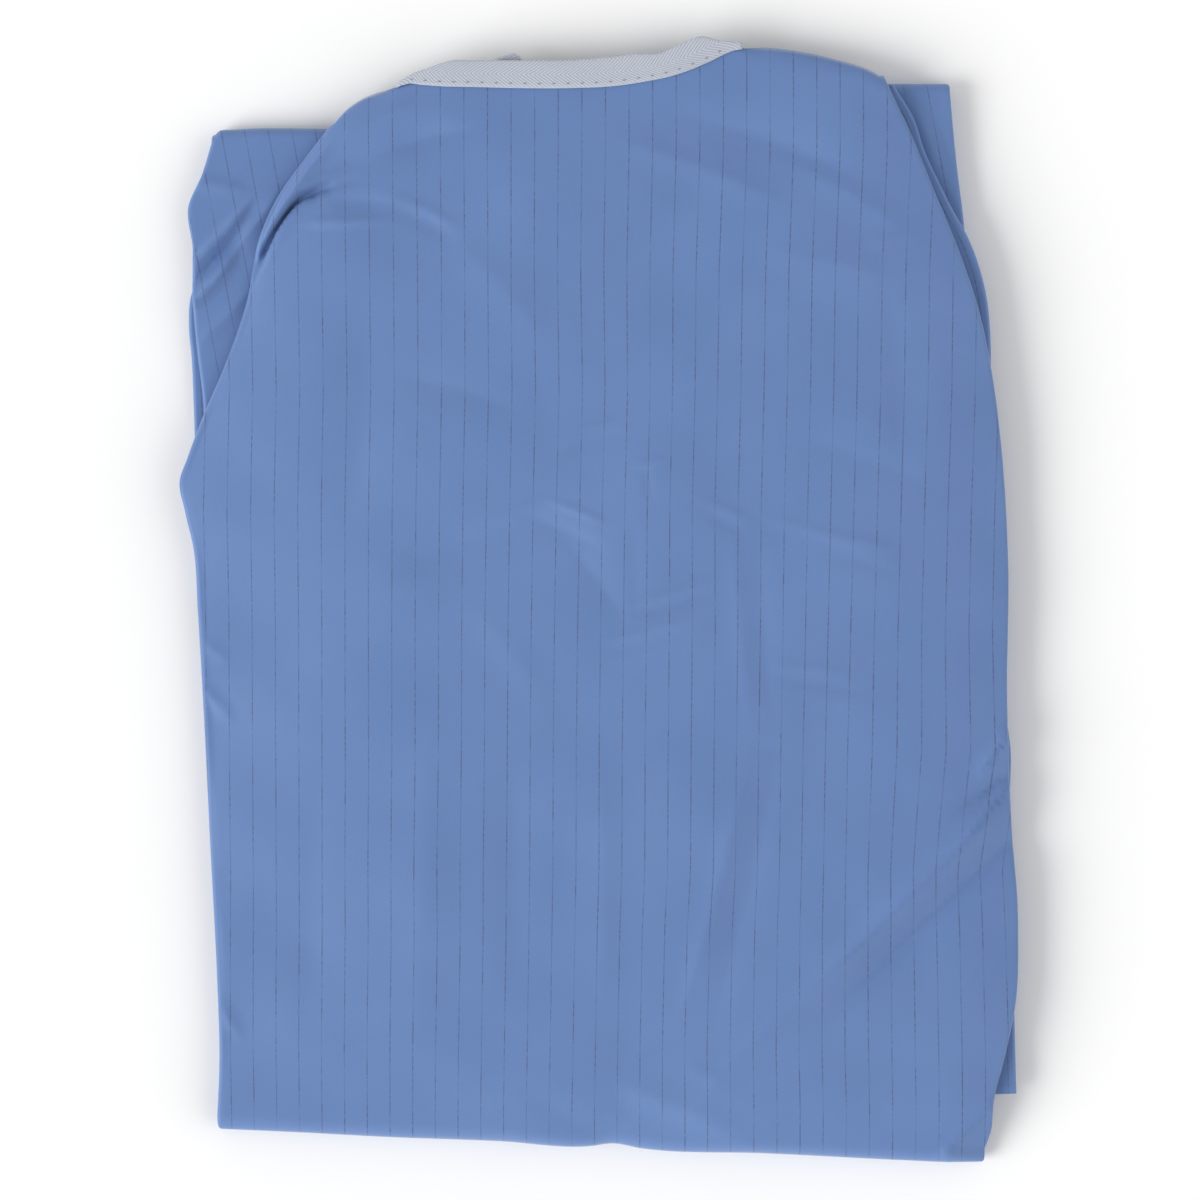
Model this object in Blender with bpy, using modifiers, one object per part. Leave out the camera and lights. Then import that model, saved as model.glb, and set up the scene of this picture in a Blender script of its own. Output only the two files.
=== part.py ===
"""A reusable apron gown of pinstriped barrier cloth, folded flat with its front up.

Lengths in the tables are millimetres. The pack lies on z = 0 with its neck toward +Y and the
wearer's left toward +X. Each piece of cloth is a wall of its own, 0.3 mm clear of the next.
"""

from collections import namedtuple
from functools import partial
from math import cos, pi, sin

import bmesh
import bpy
import numpy as np
from mathutils import Vector

COLLECTION = "apron_gown"
MM = 0.001
GAP = 0.3
WALL = 1.0

UP = np.array([0.0, 0.0, 1.0])
ALONG = np.array([0.0, 1.0, 0.0])

# Heights of the layers, from the surface that the pack lies on.
UNDER_ROLL = 1.5
BACK_TOP = 9.9
BACK_ROLL = 1.5
FRONT_ROLL = 1.8
CROWN_RISE = 8.5
CROWN_FLATNESS = 2.6
CROWN_LENGTH = 0.93

# How far turned edges reach in under their own panel.
MARGIN = 8.0
SLEEVE_TUCK = 12.0

FRONT_NOSE = 6.0
BACK_NOSE = 4.0

# The underside: where the hem crosses it, the edges of its panels, and how fast they settle.
HEM_Y = -45.0
RIGHT_SIDE_X = -162.5
RIGHT_CENTRE_X = -5.15
LEFT_CENTRE_X = -4.85
LEFT_SIDE_X = 160.0
UNDER_INSET = 2.0
UNDER_SETTLE = 3.0

# How finely the walls are divided.
ROLL_STEPS = 4
NOSE_STEPS = 5
NECK_STATIONS = [0.0, 0.006, 0.014]
FRONT_STATIONS = 30
FRONT_COLUMNS = 17
BACK_STATIONS = 8
BACK_COLUMNS = 10
UNDER_STATIONS = [0.08, 0.3, 0.65, 1.0]
BAND_STATIONS = 26
CORE_COLUMNS = 12
RUN_STEP = 0.01
CLOSING_STEPS = 12

Edge = namedtuple("Edge", "x y z")
Tuck = namedtuple("Tuck", "y width depth")
Strip = namedtuple("Strip", "x y rise")
Band = namedtuple("Band", "seam_x seam_y fold_x fold_y")
Level = namedtuple("Level", "z plan inset")
Span = namedtuple("Span", "y left right")
Fold = namedtuple("Fold", "x y far_x far_y reach height")
Finish = namedtuple("Finish", "colour roughness")
Panel = namedtuple("Panel", "top under toward nose stations columns rolls radius")

# Right shoulder, neckline under its binding, left shoulder. z is the top of the cloth.
FRONT_TOP = [
    Edge(-115.1, 203.4, 14.5),
    Edge(-111.0, 209.5, 15.0),
    Edge(-102.6, 215.9, 15.6),
    Edge(-90.9, 219.8, 16.2),
    Edge(-84.0, 221.8, 16.5),
    Edge(-76.0, 223.8, 16.5),
    Edge(-67.0, 227.2, 16.5),
    Edge(-56.0, 229.2, 16.5),
    Edge(-34.5, 229.4, 16.5),
    Edge(-10.0, 229.5, 16.5),
    Edge(8.0, 230.6, 16.5),
    Edge(22.0, 232.2, 16.6),
    Edge(34.0, 235.2, 16.7),
    Edge(44.0, 238.6, 16.8),
    Edge(53.0, 238.2, 16.9),
    Edge(61.0, 237.4, 17.0),
    Edge(71.1, 237.9, 17.0),
    Edge(86.2, 236.2, 17.0),
    Edge(103.4, 232.3, 17.3),
    Edge(116.4, 228.0, 17.4),
    Edge(122.0, 224.8, 17.4),
]

FRONT_RIGHT_SIDE = [
    Edge(-115.1, 203.4, 14.5),
    Edge(-125.9, 189.6, 14.3),
    Edge(-138.8, 171.5, 14.1),
    Edge(-147.0, 152.1, 14.1),
    Edge(-151.3, 129.3, 14.1),
    Edge(-161.2, 100.4, 14.1),
    Edge(-170.7, 78.4, 14.1),
    Edge(-177.6, 60.3, 14.1),
    Edge(-180.9, 50.5, 13.6),
    Edge(-178.6, 37.5, 13.0),
    Edge(-175.0, 21.6, 12.2),
    Edge(-173.3, -4.3, 11.2),
    Edge(-170.2, -60.3, 10.8),
    Edge(-167.7, -112.1, 10.8),
    Edge(-165.1, -163.8, 10.8),
    Edge(-164.2, -200.0, 10.8),
    Edge(-165.1, -222.4, 10.8),
]

FRONT_LEFT_SIDE = [
    Edge(122.0, 224.8, 17.4),
    Edge(124.6, 218.9, 17.4),
    Edge(132.7, 202.1, 17.4),
    Edge(142.7, 178.0, 17.4),
    Edge(155.6, 146.5, 17.4),
    Edge(163.1, 123.7, 17.0),
    Edge(168.1, 100.9, 16.6),
    Edge(173.3, 60.3, 15.6),
    Edge(175.8, 17.2, 14.6),
    Edge(175.4, -43.1, 14.0),
    Edge(176.7, -86.2, 13.9),
    Edge(180.2, -142.2, 13.9),
    Edge(179.3, -172.4, 13.9),
    Edge(174.6, -196.1, 13.9),
    Edge(169.4, -218.5, 13.4),
    Edge(169.0, -228.0, 11.5),
    Edge(166.2, -236.8, 10.0),
]

FRONT_FOLD = [
    Edge(-165.1, -222.4, 10.8),
    Edge(-133.6, -223.7, 11.6),
    Edge(-90.5, -225.9, 12.4),
    Edge(-43.1, -227.6, 12.8),
    Edge(-4.3, -229.8, 12.8),
    Edge(5.6, -228.6, 12.6),
    Edge(17.2, -230.6, 12.8),
    Edge(71.1, -232.8, 13.2),
    Edge(129.3, -235.8, 12.8),
    Edge(150.0, -236.7, 12.0),
    Edge(166.2, -236.8, 10.0),
]

# The deep tuck beside the right shoulder: where its valley lies in from the edge.
SHOULDER_TUCK = [
    Tuck(172.0, 20.0, 0.0),
    Tuck(165.0, 19.0, 0.4),
    Tuck(157.9, 16.8, 1.8),
    Tuck(154.2, 15.0, 2.6),
    Tuck(149.6, 12.4, 3.0),
    Tuck(143.5, 9.0, 2.2),
    Tuck(139.0, 7.4, 1.0),
    Tuck(132.0, 6.6, 0.0),
]
TUCK_FLANK = 5.0
SHOULDER_DROP = 3.4
SHOULDER_ROUND = 9.0

# Broad soft folds in the face of the front, each along a line, with its reach to either side.
FACE_FOLDS = [
    Fold(59.0, -80.0, 37.0, -190.0, 18.0, -0.6),
    Fold(74.0, -95.0, 54.0, -185.0, 16.0, 0.7),
    Fold(168.0, -92.0, 108.0, -160.0, 18.0, 0.9),
    Fold(-82.0, 186.0, -122.0, 176.0, 14.0, -0.7),
    Fold(-100.0, 212.0, -124.0, 186.0, 9.0, 0.6),
]

# Upper run of the right back panel, from its hidden end under the front to the top fold.
RIGHT_BACK_START = [
    Edge(-170.0, 62.0, BACK_TOP),
    Edge(-146.0, 112.0, BACK_TOP),
    Edge(-118.0, 158.0, BACK_TOP),
    Edge(-86.0, 178.0, BACK_TOP),
    Edge(RIGHT_CENTRE_X, 184.0, BACK_TOP),
]
RIGHT_BACK_SIDE = [
    Edge(-170.0, 62.0, BACK_TOP),
    Edge(-171.1, 86.2, BACK_TOP),
    Edge(-173.3, 104.7, BACK_TOP),
    Edge(-175.6, 133.6, BACK_TOP),
    Edge(-175.4, 150.0, BACK_TOP),
    Edge(-177.3, 168.5, BACK_TOP),
    Edge(-171.5, 181.9, BACK_TOP),
    Edge(-167.2, 195.7, BACK_TOP),
]
RIGHT_BACK_CENTRE = [
    Edge(RIGHT_CENTRE_X, 184.0, BACK_TOP),
    Edge(RIGHT_CENTRE_X, 199.6, BACK_TOP),
]
RIGHT_BACK_FOLD = [
    Edge(-167.2, 195.7, BACK_TOP),
    Edge(-164.6, 198.6, BACK_TOP),
    Edge(-158.6, 199.2, BACK_TOP),
    Edge(-115.0, 199.6, BACK_TOP),
    Edge(RIGHT_CENTRE_X, 199.6, BACK_TOP),
]

LEFT_BACK_START = [
    Edge(LEFT_CENTRE_X, 190.0, BACK_TOP),
    Edge(84.0, 186.0, BACK_TOP),
    Edge(112.0, 164.0, BACK_TOP),
    Edge(138.0, 116.0, BACK_TOP),
    Edge(159.0, 104.0, BACK_TOP),
]
LEFT_BACK_SIDE = [
    Edge(159.0, 104.0, BACK_TOP),
    Edge(158.5, 130.0, BACK_TOP),
    Edge(157.7, 158.0, BACK_TOP),
    Edge(154.3, 186.2, BACK_TOP),
    Edge(152.6, 202.1, BACK_TOP),
    Edge(151.1, 219.0, BACK_TOP),
]
LEFT_BACK_CENTRE = [
    Edge(LEFT_CENTRE_X, 190.0, BACK_TOP),
    Edge(LEFT_CENTRE_X, 219.0, BACK_TOP),
]
LEFT_BACK_FOLD = [
    Edge(LEFT_CENTRE_X, 219.0, BACK_TOP),
    Edge(80.0, 219.0, BACK_TOP),
    Edge(151.1, 219.0, BACK_TOP),
]

# Folded edges of the sleeves: their outer line, and how high their lower face lies.
LEFT_SLEEVE_EDGE = [
    Strip(126.3, 222.4, 10.3),
    Strip(135.8, 206.4, 10.3),
    Strip(139.6, 194.4, 10.3),
    Strip(146.1, 180.2, 10.3),
    Strip(152.6, 167.2, 10.3),
    Strip(157.3, 159.0, 10.3),
    Strip(163.1, 144.8, 10.3),
    Strip(167.2, 127.0, 10.3),
    Strip(168.4, 112.0, 10.3),
    Strip(168.6, 98.0, 10.0),
    Strip(172.5, 50.0, 7.6),
    Strip(174.6, 0.0, 7.0),
    Strip(175.4, -49.6, 7.0),
    Strip(177.3, -66.0, 7.0),
    Strip(177.1, -78.0, 7.0),
    Strip(176.0, -95.0, 7.0),
    Strip(178.0, -142.0, 7.0),
    Strip(178.9, -181.0, 7.0),
    Strip(179.7, -212.9, 7.0),
]
RIGHT_SLEEVE_EDGE = [
    Strip(-174.0, 140.0, 3.3),
    Strip(-177.2, 129.0, 3.3),
    Strip(-177.6, 118.5, 3.3),
    Strip(-176.4, 104.0, 3.3),
    Strip(-175.6, 86.0, 3.3),
    Strip(-175.0, 66.8, 3.3),
    Strip(-174.0, 40.0, 3.3),
    Strip(-171.0, 0.0, 3.3),
]
LEFT_SLEEVE_ROLL = 1.5
RIGHT_SLEEVE_ROLL = 1.6

# The binding along the neckline: its sewn edge on the front, and its fold.
NECK_BAND = [
    Band(-83.0, 222.2, -80.6, 226.6),
    Band(-77.0, 221.7, -75.0, 228.6),
    Band(-68.0, 221.0, -65.5, 231.9),
    Band(-54.7, 220.7, -53.5, 232.3),
    Band(-34.5, 220.2, -34.0, 232.3),
    Band(-12.9, 220.2, -12.5, 232.4),
    Band(6.5, 221.1, 4.0, 233.8),
    Band(20.0, 223.1, 16.0, 235.2),
    Band(31.0, 225.4, 25.5, 235.3),
    Band(40.0, 228.5, 33.0, 238.5),
    Band(48.5, 232.2, 44.0, 242.6),
    Band(54.0, 235.0, 52.0, 241.3),
    Band(58.4, 236.6, 58.6, 240.6),
]
BAND_ABOVE = WALL / 2 + 1.5 * GAP + WALL
BAND_SLACK = 2 * GAP
BAND_TURN = 0.6

BACK_BAND_EDGE = [
    Strip(-58.0, 229.6, 10.3),
    Strip(-50.5, 231.3, 10.3),
    Strip(-46.1, 232.5, 10.3),
    Strip(-43.1, 234.0, 10.3),
    Strip(-39.7, 235.2, 10.3),
    Strip(-37.1, 235.8, 10.3),
    Strip(-34.9, 234.6, 10.3),
    Strip(-32.8, 232.5, 10.3),
    Strip(-28.0, 230.4, 10.3),
    Strip(-22.0, 229.4, 10.3),
]
BACK_BAND_ROLL = 1.5
BACK_BAND_TUCK = 9.0

# Plans of the hidden layers, a row for each station from the neck down: their foot inside the
# turned edges, the lower folds that show at the edges, and the slot that takes the panels' ends.
FOOT = [
    Span(216.0, 2.0, 138.0),
    Span(198.0, 2.0, 140.0),
    Span(195.5, -146.0, 140.5),
    Span(180.0, -149.0, 142.0),
    Span(150.0, -151.0, 145.0),
    Span(105.0, -151.0, 148.0),
    Span(60.0, -151.0, 148.0),
    Span(0.0, -151.0, 148.0),
    Span(-50.0, -151.0, 148.0),
    Span(-100.0, -151.0, 148.0),
    Span(-150.0, -150.0, 148.0),
    Span(-200.0, -150.0, 148.0),
    Span(-219.0, -148.0, 146.0),
]
LOWER_FOLDS = [
    Span(218.0, 0.0, 149.0),
    Span(199.0, 0.0, 150.5),
    Span(196.5, -162.0, 151.0),
    Span(185.0, -168.0, 152.5),
    Span(152.0, -172.5, 156.0),
    Span(145.0, -157.0, 156.5),
    Span(60.0, -157.0, 165.0),
    Span(-2.0, -156.0, 172.0),
    Span(-10.0, -170.5, 172.5),
    Span(-80.0, -166.8, 174.0),
    Span(-150.0, -163.2, 177.5),
    Span(-205.0, -161.8, 171.0),
    Span(-224.0, -158.0, 163.0),
]
SLOT = [
    Span(181.0, 4.0, 80.0),
    Span(176.0, 2.0, 92.0),
    Span(162.0, -104.0, 100.0),
    Span(140.0, -118.0, 112.0),
    Span(118.0, -132.0, 124.0),
    Span(96.0, -142.0, 138.0),
    Span(50.0, -152.0, 150.0),
    Span(0.0, -157.0, 156.0),
    Span(-50.0, -155.0, 158.0),
    Span(-100.0, -153.0, 160.0),
    Span(-150.0, -151.0, 162.0),
    Span(-200.0, -149.0, 156.0),
    Span(-219.0, -147.0, 148.0),
]
# Share of the way across and down the front between which the upper folds meet its inside.
CORE_SIDE_SHARE = 0.075
CORE_ENDS = (0.084, 0.985)
CORE_DEPTH = WALL + 4 * GAP
LEDGE_DEPTH = 0.8

FOLDED_LEVELS = [
    Level(1.4, FOOT, 0.0),
    Level(3.3, FOOT, 0.0),
    Level(3.3, LOWER_FOLDS, 2.4),
    Level(3.9, LOWER_FOLDS, 0.4),
    Level(4.5, LOWER_FOLDS, 0.4),
    Level(5.0, LOWER_FOLDS, 2.2),
    Level(5.5, LOWER_FOLDS, 0.4),
    Level(6.1, LOWER_FOLDS, 0.4),
    Level(6.6, LOWER_FOLDS, 2.4),
    Level(6.7, SLOT, 0.0),
]

CLOTH = Finish((0.147, 0.227, 0.456, 1.0), 0.75)
TAPE = Finish((0.60, 0.65, 0.72, 1.0), 0.85)


def smooth_curve(rows, share):
    """Point of a smooth curve through the rows, at a share of its length."""
    points = np.array([tuple(row) for row in rows], float)
    steps = np.linalg.norm(np.diff(points[:, :2], axis=0), axis=1)
    reach = np.concatenate([[0.0], np.cumsum(steps)])
    at = np.clip(share, 0.0, 1.0) * reach[-1]
    i = int(np.clip(np.searchsorted(reach, at, side="right") - 1, 0, len(steps) - 1))
    t = (at - reach[i]) / steps[i]
    slopes = np.gradient(points, reach, axis=0)
    return (
        points[i] * (2 * t**3 - 3 * t**2 + 1)
        + slopes[i] * steps[i] * (t**3 - 2 * t**2 + t)
        + points[i + 1] * (3 * t**2 - 2 * t**3)
        + slopes[i + 1] * steps[i] * (t**3 - t**2)
    )


def read_table(rows, key, column, at):
    """A column of a table, read between its rows at a value of its key column."""
    rows = sorted(rows, key=lambda row: getattr(row, key))
    keys = [getattr(row, key) for row in rows]
    return float(np.interp(at, keys, [getattr(row, column) for row in rows]))


def patch_point(start, end, low, high, u, v):
    """Point of the surface hung between four edges: u runs from low to high, v from start to end."""
    along = (1 - v) * smooth_curve(start, u) + v * smooth_curve(end, u)
    across = (1 - u) * smooth_curve(low, v) + u * smooth_curve(high, v)
    corners = (
        (1 - u) * (1 - v) * smooth_curve(start, 0.0)
        + u * (1 - v) * smooth_curve(start, 1.0)
        + (1 - u) * v * smooth_curve(end, 0.0)
        + u * v * smooth_curve(end, 1.0)
    )
    return along + across - corners


def bulge(share):
    """0 at both ends of the range 0 to 1, and nearly 1 over its middle."""
    return 1 - abs(2 * share - 1) ** CROWN_FLATNESS


def plan_distance(one, other):
    """Distance between two points, seen from above."""
    return np.linalg.norm((one - other)[:2])


def front_surface(u, v):
    """Outer face of the front on top of the pack, before its folds."""
    point = patch_point(FRONT_TOP, FRONT_FOLD, FRONT_RIGHT_SIDE, FRONT_LEFT_SIDE, u, v)
    return point + CROWN_RISE * bulge(u) * bulge(CROWN_LENGTH * v) * UP


def fold_height(fold, x, y):
    """Height that a soft fold adds at a place: full along its line, fading to its reach."""
    line = np.array([fold.far_x - fold.x, fold.far_y - fold.y])
    from_start = np.array([x - fold.x, y - fold.y])
    along = np.clip(from_start @ line / (line @ line), 0.0, 1.0)
    aside = np.linalg.norm(from_start - along * line) / fold.reach
    return fold.height * (1 + cos(pi * min(aside, 1.0))) / 2


def shoulder_drop(point, from_top):
    """How far a shoulder has rounded down at a point this far from its edge, none at the neck."""
    beside = max(NECK_BAND[0].seam_x - point[0], point[0] - NECK_BAND[-1].fold_x)
    lean = max(0.0, 1 - from_top / SHOULDER_ROUND)
    return SHOULDER_DROP * np.clip(beside / SHOULDER_ROUND, 0.0, 1.0) * (1 - (1 - lean**2) ** 0.5)


def front_top(u, v):
    """Outer face of the front with its rounded shoulders, its tuck and its soft folds."""
    point, edge = front_surface(u, v), front_surface(0.0, v)
    drop = shoulder_drop(point, plan_distance(point, front_surface(u, 0.0)))
    valley = read_table(SHOULDER_TUCK, "y", "width", edge[1])
    depth = read_table(SHOULDER_TUCK, "y", "depth", edge[1])
    aside = abs(plan_distance(point, edge) - valley) / TUCK_FLANK
    drop += depth * max(0.0, 1 - aside)
    rise = sum(fold_height(fold, point[0], point[1]) for fold in FACE_FOLDS)
    return point + (rise - drop) * UP


def front_under(u, w):
    """Outer face of the front beneath the pack, from the lower fold to the hem of the backs."""
    start, left, right = front_top(u, 1.0), front_top(0.0, 1.0)[0], front_top(1.0, 1.0)[0]
    far = left + UNDER_INSET + (right - left - 2 * UNDER_INSET) * u
    return under_point(start, far, HEM_Y - GAP, w)


def under_point(start, far_x, far_y, w):
    """Point on the flat underside, w of the way from under a fold to the hem."""
    x = start[0] + (far_x - start[0]) * min(1.0, UNDER_SETTLE * w)
    return np.array([x, start[1] + (far_y - start[1]) * w, 0.0])


def right_back_top(u, v):
    """Outer face of the right back panel's upper run."""
    return patch_point(RIGHT_BACK_START, RIGHT_BACK_FOLD, RIGHT_BACK_SIDE, RIGHT_BACK_CENTRE, u, v)


def left_back_top(u, v):
    """Outer face of the left back panel's upper run."""
    return patch_point(LEFT_BACK_START, LEFT_BACK_FOLD, LEFT_BACK_CENTRE, LEFT_BACK_SIDE, u, v)


def rolled_edge(top, out, normal, radius):
    """Points of an edge that rolls under from a point of its panel, then runs in beneath it."""
    centre = top - radius * normal
    turned = [
        centre + radius * (cos(a) * normal + sin(a) * out)
        for a in (pi * i / ROLL_STEPS for i in range(1, ROLL_STEPS + 1))
    ]
    return turned + [turned[-1] - MARGIN * out]


def station(point_at, normal, shares, rolls, radius):
    """One row of a wall: its columns, with the edges named in rolls turned under."""
    across = point_at(1.0) - point_at(0.0)
    across[2] = 0.0
    reach = np.linalg.norm(across)
    across /= reach
    low = radius / reach if "low" in rolls else 0.0
    high = 1 - radius / reach if "high" in rolls else 1.0
    row = [point_at(low + (high - low) * share) for share in shares]
    if "low" in rolls:
        row = rolled_edge(row[0], -across, normal, radius)[::-1] + row
    if "high" in rolls:
        row = row + rolled_edge(row[-1], across, normal, radius)
    return row


def wrapped_rows(panel):
    """Rows of a panel that lies on top of the pack, turns round a fold and runs back beneath."""
    rows = [
        station(partial(panel.top, v=v), UP, panel.columns(v), panel.rolls, panel.radius)
        for v in panel.stations
    ]
    last = panel.columns(1.0)
    for i in range(1, NOSE_STEPS + 1):
        angle = pi * i / NOSE_STEPS
        normal = panel.toward * sin(angle) * ALONG + cos(angle) * UP
        radius = panel.radius + (UNDER_ROLL - panel.radius) * i / NOSE_STEPS
        rows.append(station(partial(nose_point, panel, angle), normal, last, panel.rolls, radius))
    rows += [
        station(partial(panel.under, w=w), -UP, last, panel.rolls, UNDER_ROLL) for w in UNDER_STATIONS
    ]
    return rows


def nose_point(panel, angle, u):
    """Point of a panel's fold, at an angle round from the top of the pack to its underside."""
    x, y, z = panel.top(u, 1.0)
    return np.array([x, y + panel.toward * panel.nose * sin(angle), z * (1 + cos(angle)) / 2])


def even_columns(v):
    """Columns of a back panel, even between its edges whatever the station."""
    return [i / BACK_COLUMNS for i in range(BACK_COLUMNS + 1)]


def front_columns(v):
    """Columns of the front at a station: the first follow the tuck's valley, the rest are even."""
    edge = front_surface(0.0, v)
    reach = plan_distance(edge, front_surface(1.0, v)) - 2 * FRONT_ROLL
    valley = (read_table(SHOULDER_TUCK, "y", "width", edge[1]) - FRONT_ROLL) / reach
    lip = valley + TUCK_FLANK / reach
    return [0.0, valley] + [lip + (1 - lip) * i / FRONT_COLUMNS for i in range(FRONT_COLUMNS + 1)]


def grid_mesh(name, rows):
    """An open surface through rows of points."""
    bm = bmesh.new()
    grid = [[bm.verts.new(Vector(point) * MM) for point in row] for row in rows]
    cover_grid(bm, grid)
    return finished_mesh(name, bm)


def cover_grid(bm, grid):
    """Faces between the neighbours of a grid of vertices."""
    for one, other in zip(grid, grid[1:]):
        for a, b, c, d in zip(one, one[1:], other[1:], other):
            bm.faces.new((a, d, c, b))


def finished_mesh(name, bm):
    """A smooth-shaded mesh from what has been modelled."""
    mesh = bpy.data.meshes.new(name)
    bm.to_mesh(mesh)
    bm.free()
    mesh.shade_smooth()
    return mesh


def placed(mesh, finish):
    """A mesh as an object of the gown's collection, with a material of its own."""
    material = bpy.data.materials.new(mesh.name)
    material.use_nodes = True
    shader = material.node_tree.nodes["Principled BSDF"]
    shader.inputs["Base Color"].default_value = finish.colour
    shader.inputs["Roughness"].default_value = finish.roughness
    shader.inputs["Metallic"].default_value = 0.0
    mesh.materials.append(material)
    piece = bpy.data.objects.new(mesh.name, mesh)
    bpy.data.collections[COLLECTION].objects.link(piece)
    return piece


def cloth_wall(name, rows, finish, flipped=False):
    """A wall of cloth: its outer face through the rows, its thickness on the inner side."""
    mesh = grid_mesh(name, rows)
    if flipped:
        mesh.flip_normals()
    shell = placed(mesh, finish).modifiers.new("cloth", "SOLIDIFY")
    shell.thickness = WALL * MM
    shell.offset = -1.0
    shell.use_even_offset = True


def front_panel():
    """The front: down its face, round the lower fold and back beneath to the hem."""
    stations = NECK_STATIONS + [i / FRONT_STATIONS for i in range(1, FRONT_STATIONS + 1)]
    panel = Panel(
        front_top, front_under, -1, FRONT_NOSE, stations, front_columns, ("low", "high"), FRONT_ROLL
    )
    cloth_wall("front_panel", wrapped_rows(panel), CLOTH)


def back_panel(name, top, low_x, high_x, rolls):
    """A back panel: up behind the front, round its top fold and down beneath to its hem."""

    def under(u, w):
        return under_point(top(u, 1.0), low_x + (high_x - low_x) * u, HEM_Y, w)

    stations = [i / BACK_STATIONS for i in range(BACK_STATIONS + 1)]
    panel = Panel(top, under, 1, BACK_NOSE, stations, even_columns, rolls, BACK_ROLL)
    cloth_wall(name, wrapped_rows(panel), CLOTH, flipped=True)


def folded_strip(name, edge, roll, tuck, finish, side=1):
    """A piece folded flat on itself, seen as a narrow strip: side is 1 where it faces +X."""
    stations = 2 * len(edge)
    rows = []
    for i in range(stations + 1):
        share = i / stations
        x, y, rise = smooth_curve(edge, share)
        run = smooth_curve(edge, share + RUN_STEP) - smooth_curve(edge, share - RUN_STEP)
        out = np.array([-side * run[1], side * run[0], 0.0])
        out /= np.linalg.norm(out)
        centre = np.array([x, y, rise + roll]) - roll * out
        arc = [
            centre + roll * (cos(a) * UP + sin(a) * out)
            for a in (pi * k / ROLL_STEPS for k in range(ROLL_STEPS + 1))
        ]
        rows.append([arc[0] - tuck * out] + arc + [arc[-1] - tuck * out])
    cloth_wall(name, rows, finish, flipped=side < 0)


def front_height(x, y):
    """Height of the front's outer face at a place near the neck, found by closing in on it."""
    u, v = 0.5, 0.1
    for _ in range(CLOSING_STEPS):
        point = front_surface(u, v)
        width = front_surface(1.0, v)[0] - front_surface(0.0, v)[0]
        length = front_surface(u, 0.0)[1] - front_surface(u, 1.0)[1]
        u = float(np.clip(u + (x - point[0]) / width, 0.0, 1.0))
        v = float(np.clip(v + (point[1] - y) / length, 0.0, 1.0))
    return front_top(u, v)[2]


def neck_binding():
    """The binding tape: on the front, round its fold, and back beneath the front's edge."""
    rows = []
    for i in range(BAND_STATIONS + 1):
        seam_x, seam_y, fold_x, fold_y = smooth_curve(NECK_BAND, i / BAND_STATIONS)
        seam = np.array([seam_x, seam_y, front_height(seam_x, seam_y) - WALL / 2])
        fold = np.array([fold_x, fold_y, front_height(fold_x, fold_y) - WALL / 2])
        reach = plan_distance(seam, fold)
        out = (fold - seam) / reach
        turn = min(BAND_ABOVE, BAND_TURN * reach)
        arc = [
            fold - turn * (1 - sin(a)) * out + (BAND_ABOVE + BAND_SLACK * sin(a / 2)) * cos(a) * UP
            for a in (pi * k / ROLL_STEPS for k in range(ROLL_STEPS + 1))
        ]
        rows.append([seam + BAND_ABOVE * UP] + arc + [seam - (BAND_ABOVE + BAND_SLACK) * UP + out])
    cloth_wall("neck_binding", rows, TAPE)


def spread(left, right):
    """Points spread evenly from left to right over the columns of the hidden layers."""
    return [left + (right - left) * j / CORE_COLUMNS for j in range(CORE_COLUMNS + 1)]


def plan_ring(level):
    """A ring of points round a level's plan, drawn in by its inset."""
    grid = []
    for i, row in enumerate(level.plan):
        y = row.y - level.inset * (i == 0) + level.inset * (i == len(level.plan) - 1)
        left = np.array([row.left + level.inset, y, level.z])
        grid.append(spread(left, np.array([row.right - level.inset, y, level.z])))
    return grid_rim(grid)


def grid_rim(grid):
    """The points round a grid: down its left side, across, up its right side and back."""
    left, right = [row[0] for row in grid], [row[-1] for row in grid]
    return left + grid[-1][1:-1] + right[::-1] + grid[0][1:-1][::-1]


def core_top_grid():
    """Top of the hidden layers: the front's own points, moved in under its wall."""
    stations = len(SLOT) - 1
    start, end = CORE_ENDS
    return [
        [
            front_top(u, start + (end - start) * i / stations) - CORE_DEPTH * UP
            for u in spread(CORE_SIDE_SHARE, 1 - CORE_SIDE_SHARE)
        ]
        for i in range(stations + 1)
    ]


def folded_layers():
    """Hidden layers as one rounded solid, with the cloth's folds as grooves round its edge."""
    top = core_top_grid()
    ledge = [np.array([x, y, min(BACK_TOP + GAP, z - LEDGE_DEPTH)]) for x, y, z in grid_rim(top)]
    slot = [
        np.array([inner[0], inner[1], outer[2]])
        for inner, outer in zip(plan_ring(Level(0.0, SLOT, 0.0)), ledge)
    ]
    rings = [plan_ring(level) for level in FOLDED_LEVELS] + [slot, ledge]
    bm = bmesh.new()
    loops = [[bm.verts.new(Vector(point) * MM) for point in ring] for ring in rings]
    cover = [[bm.verts.new(Vector(point) * MM) for point in row] for row in top]
    cover_grid(bm, cover)
    loops.append(grid_rim(cover))
    for one, other in zip(loops, loops[1:]):
        for i in range(len(one)):
            bm.faces.new((one[i - 1], one[i], other[i], other[i - 1]))
    bm.faces.new(loops[0])
    bmesh.ops.recalc_face_normals(bm, faces=bm.faces)
    placed(finished_mesh("folded_layers", bm), CLOTH)


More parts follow.
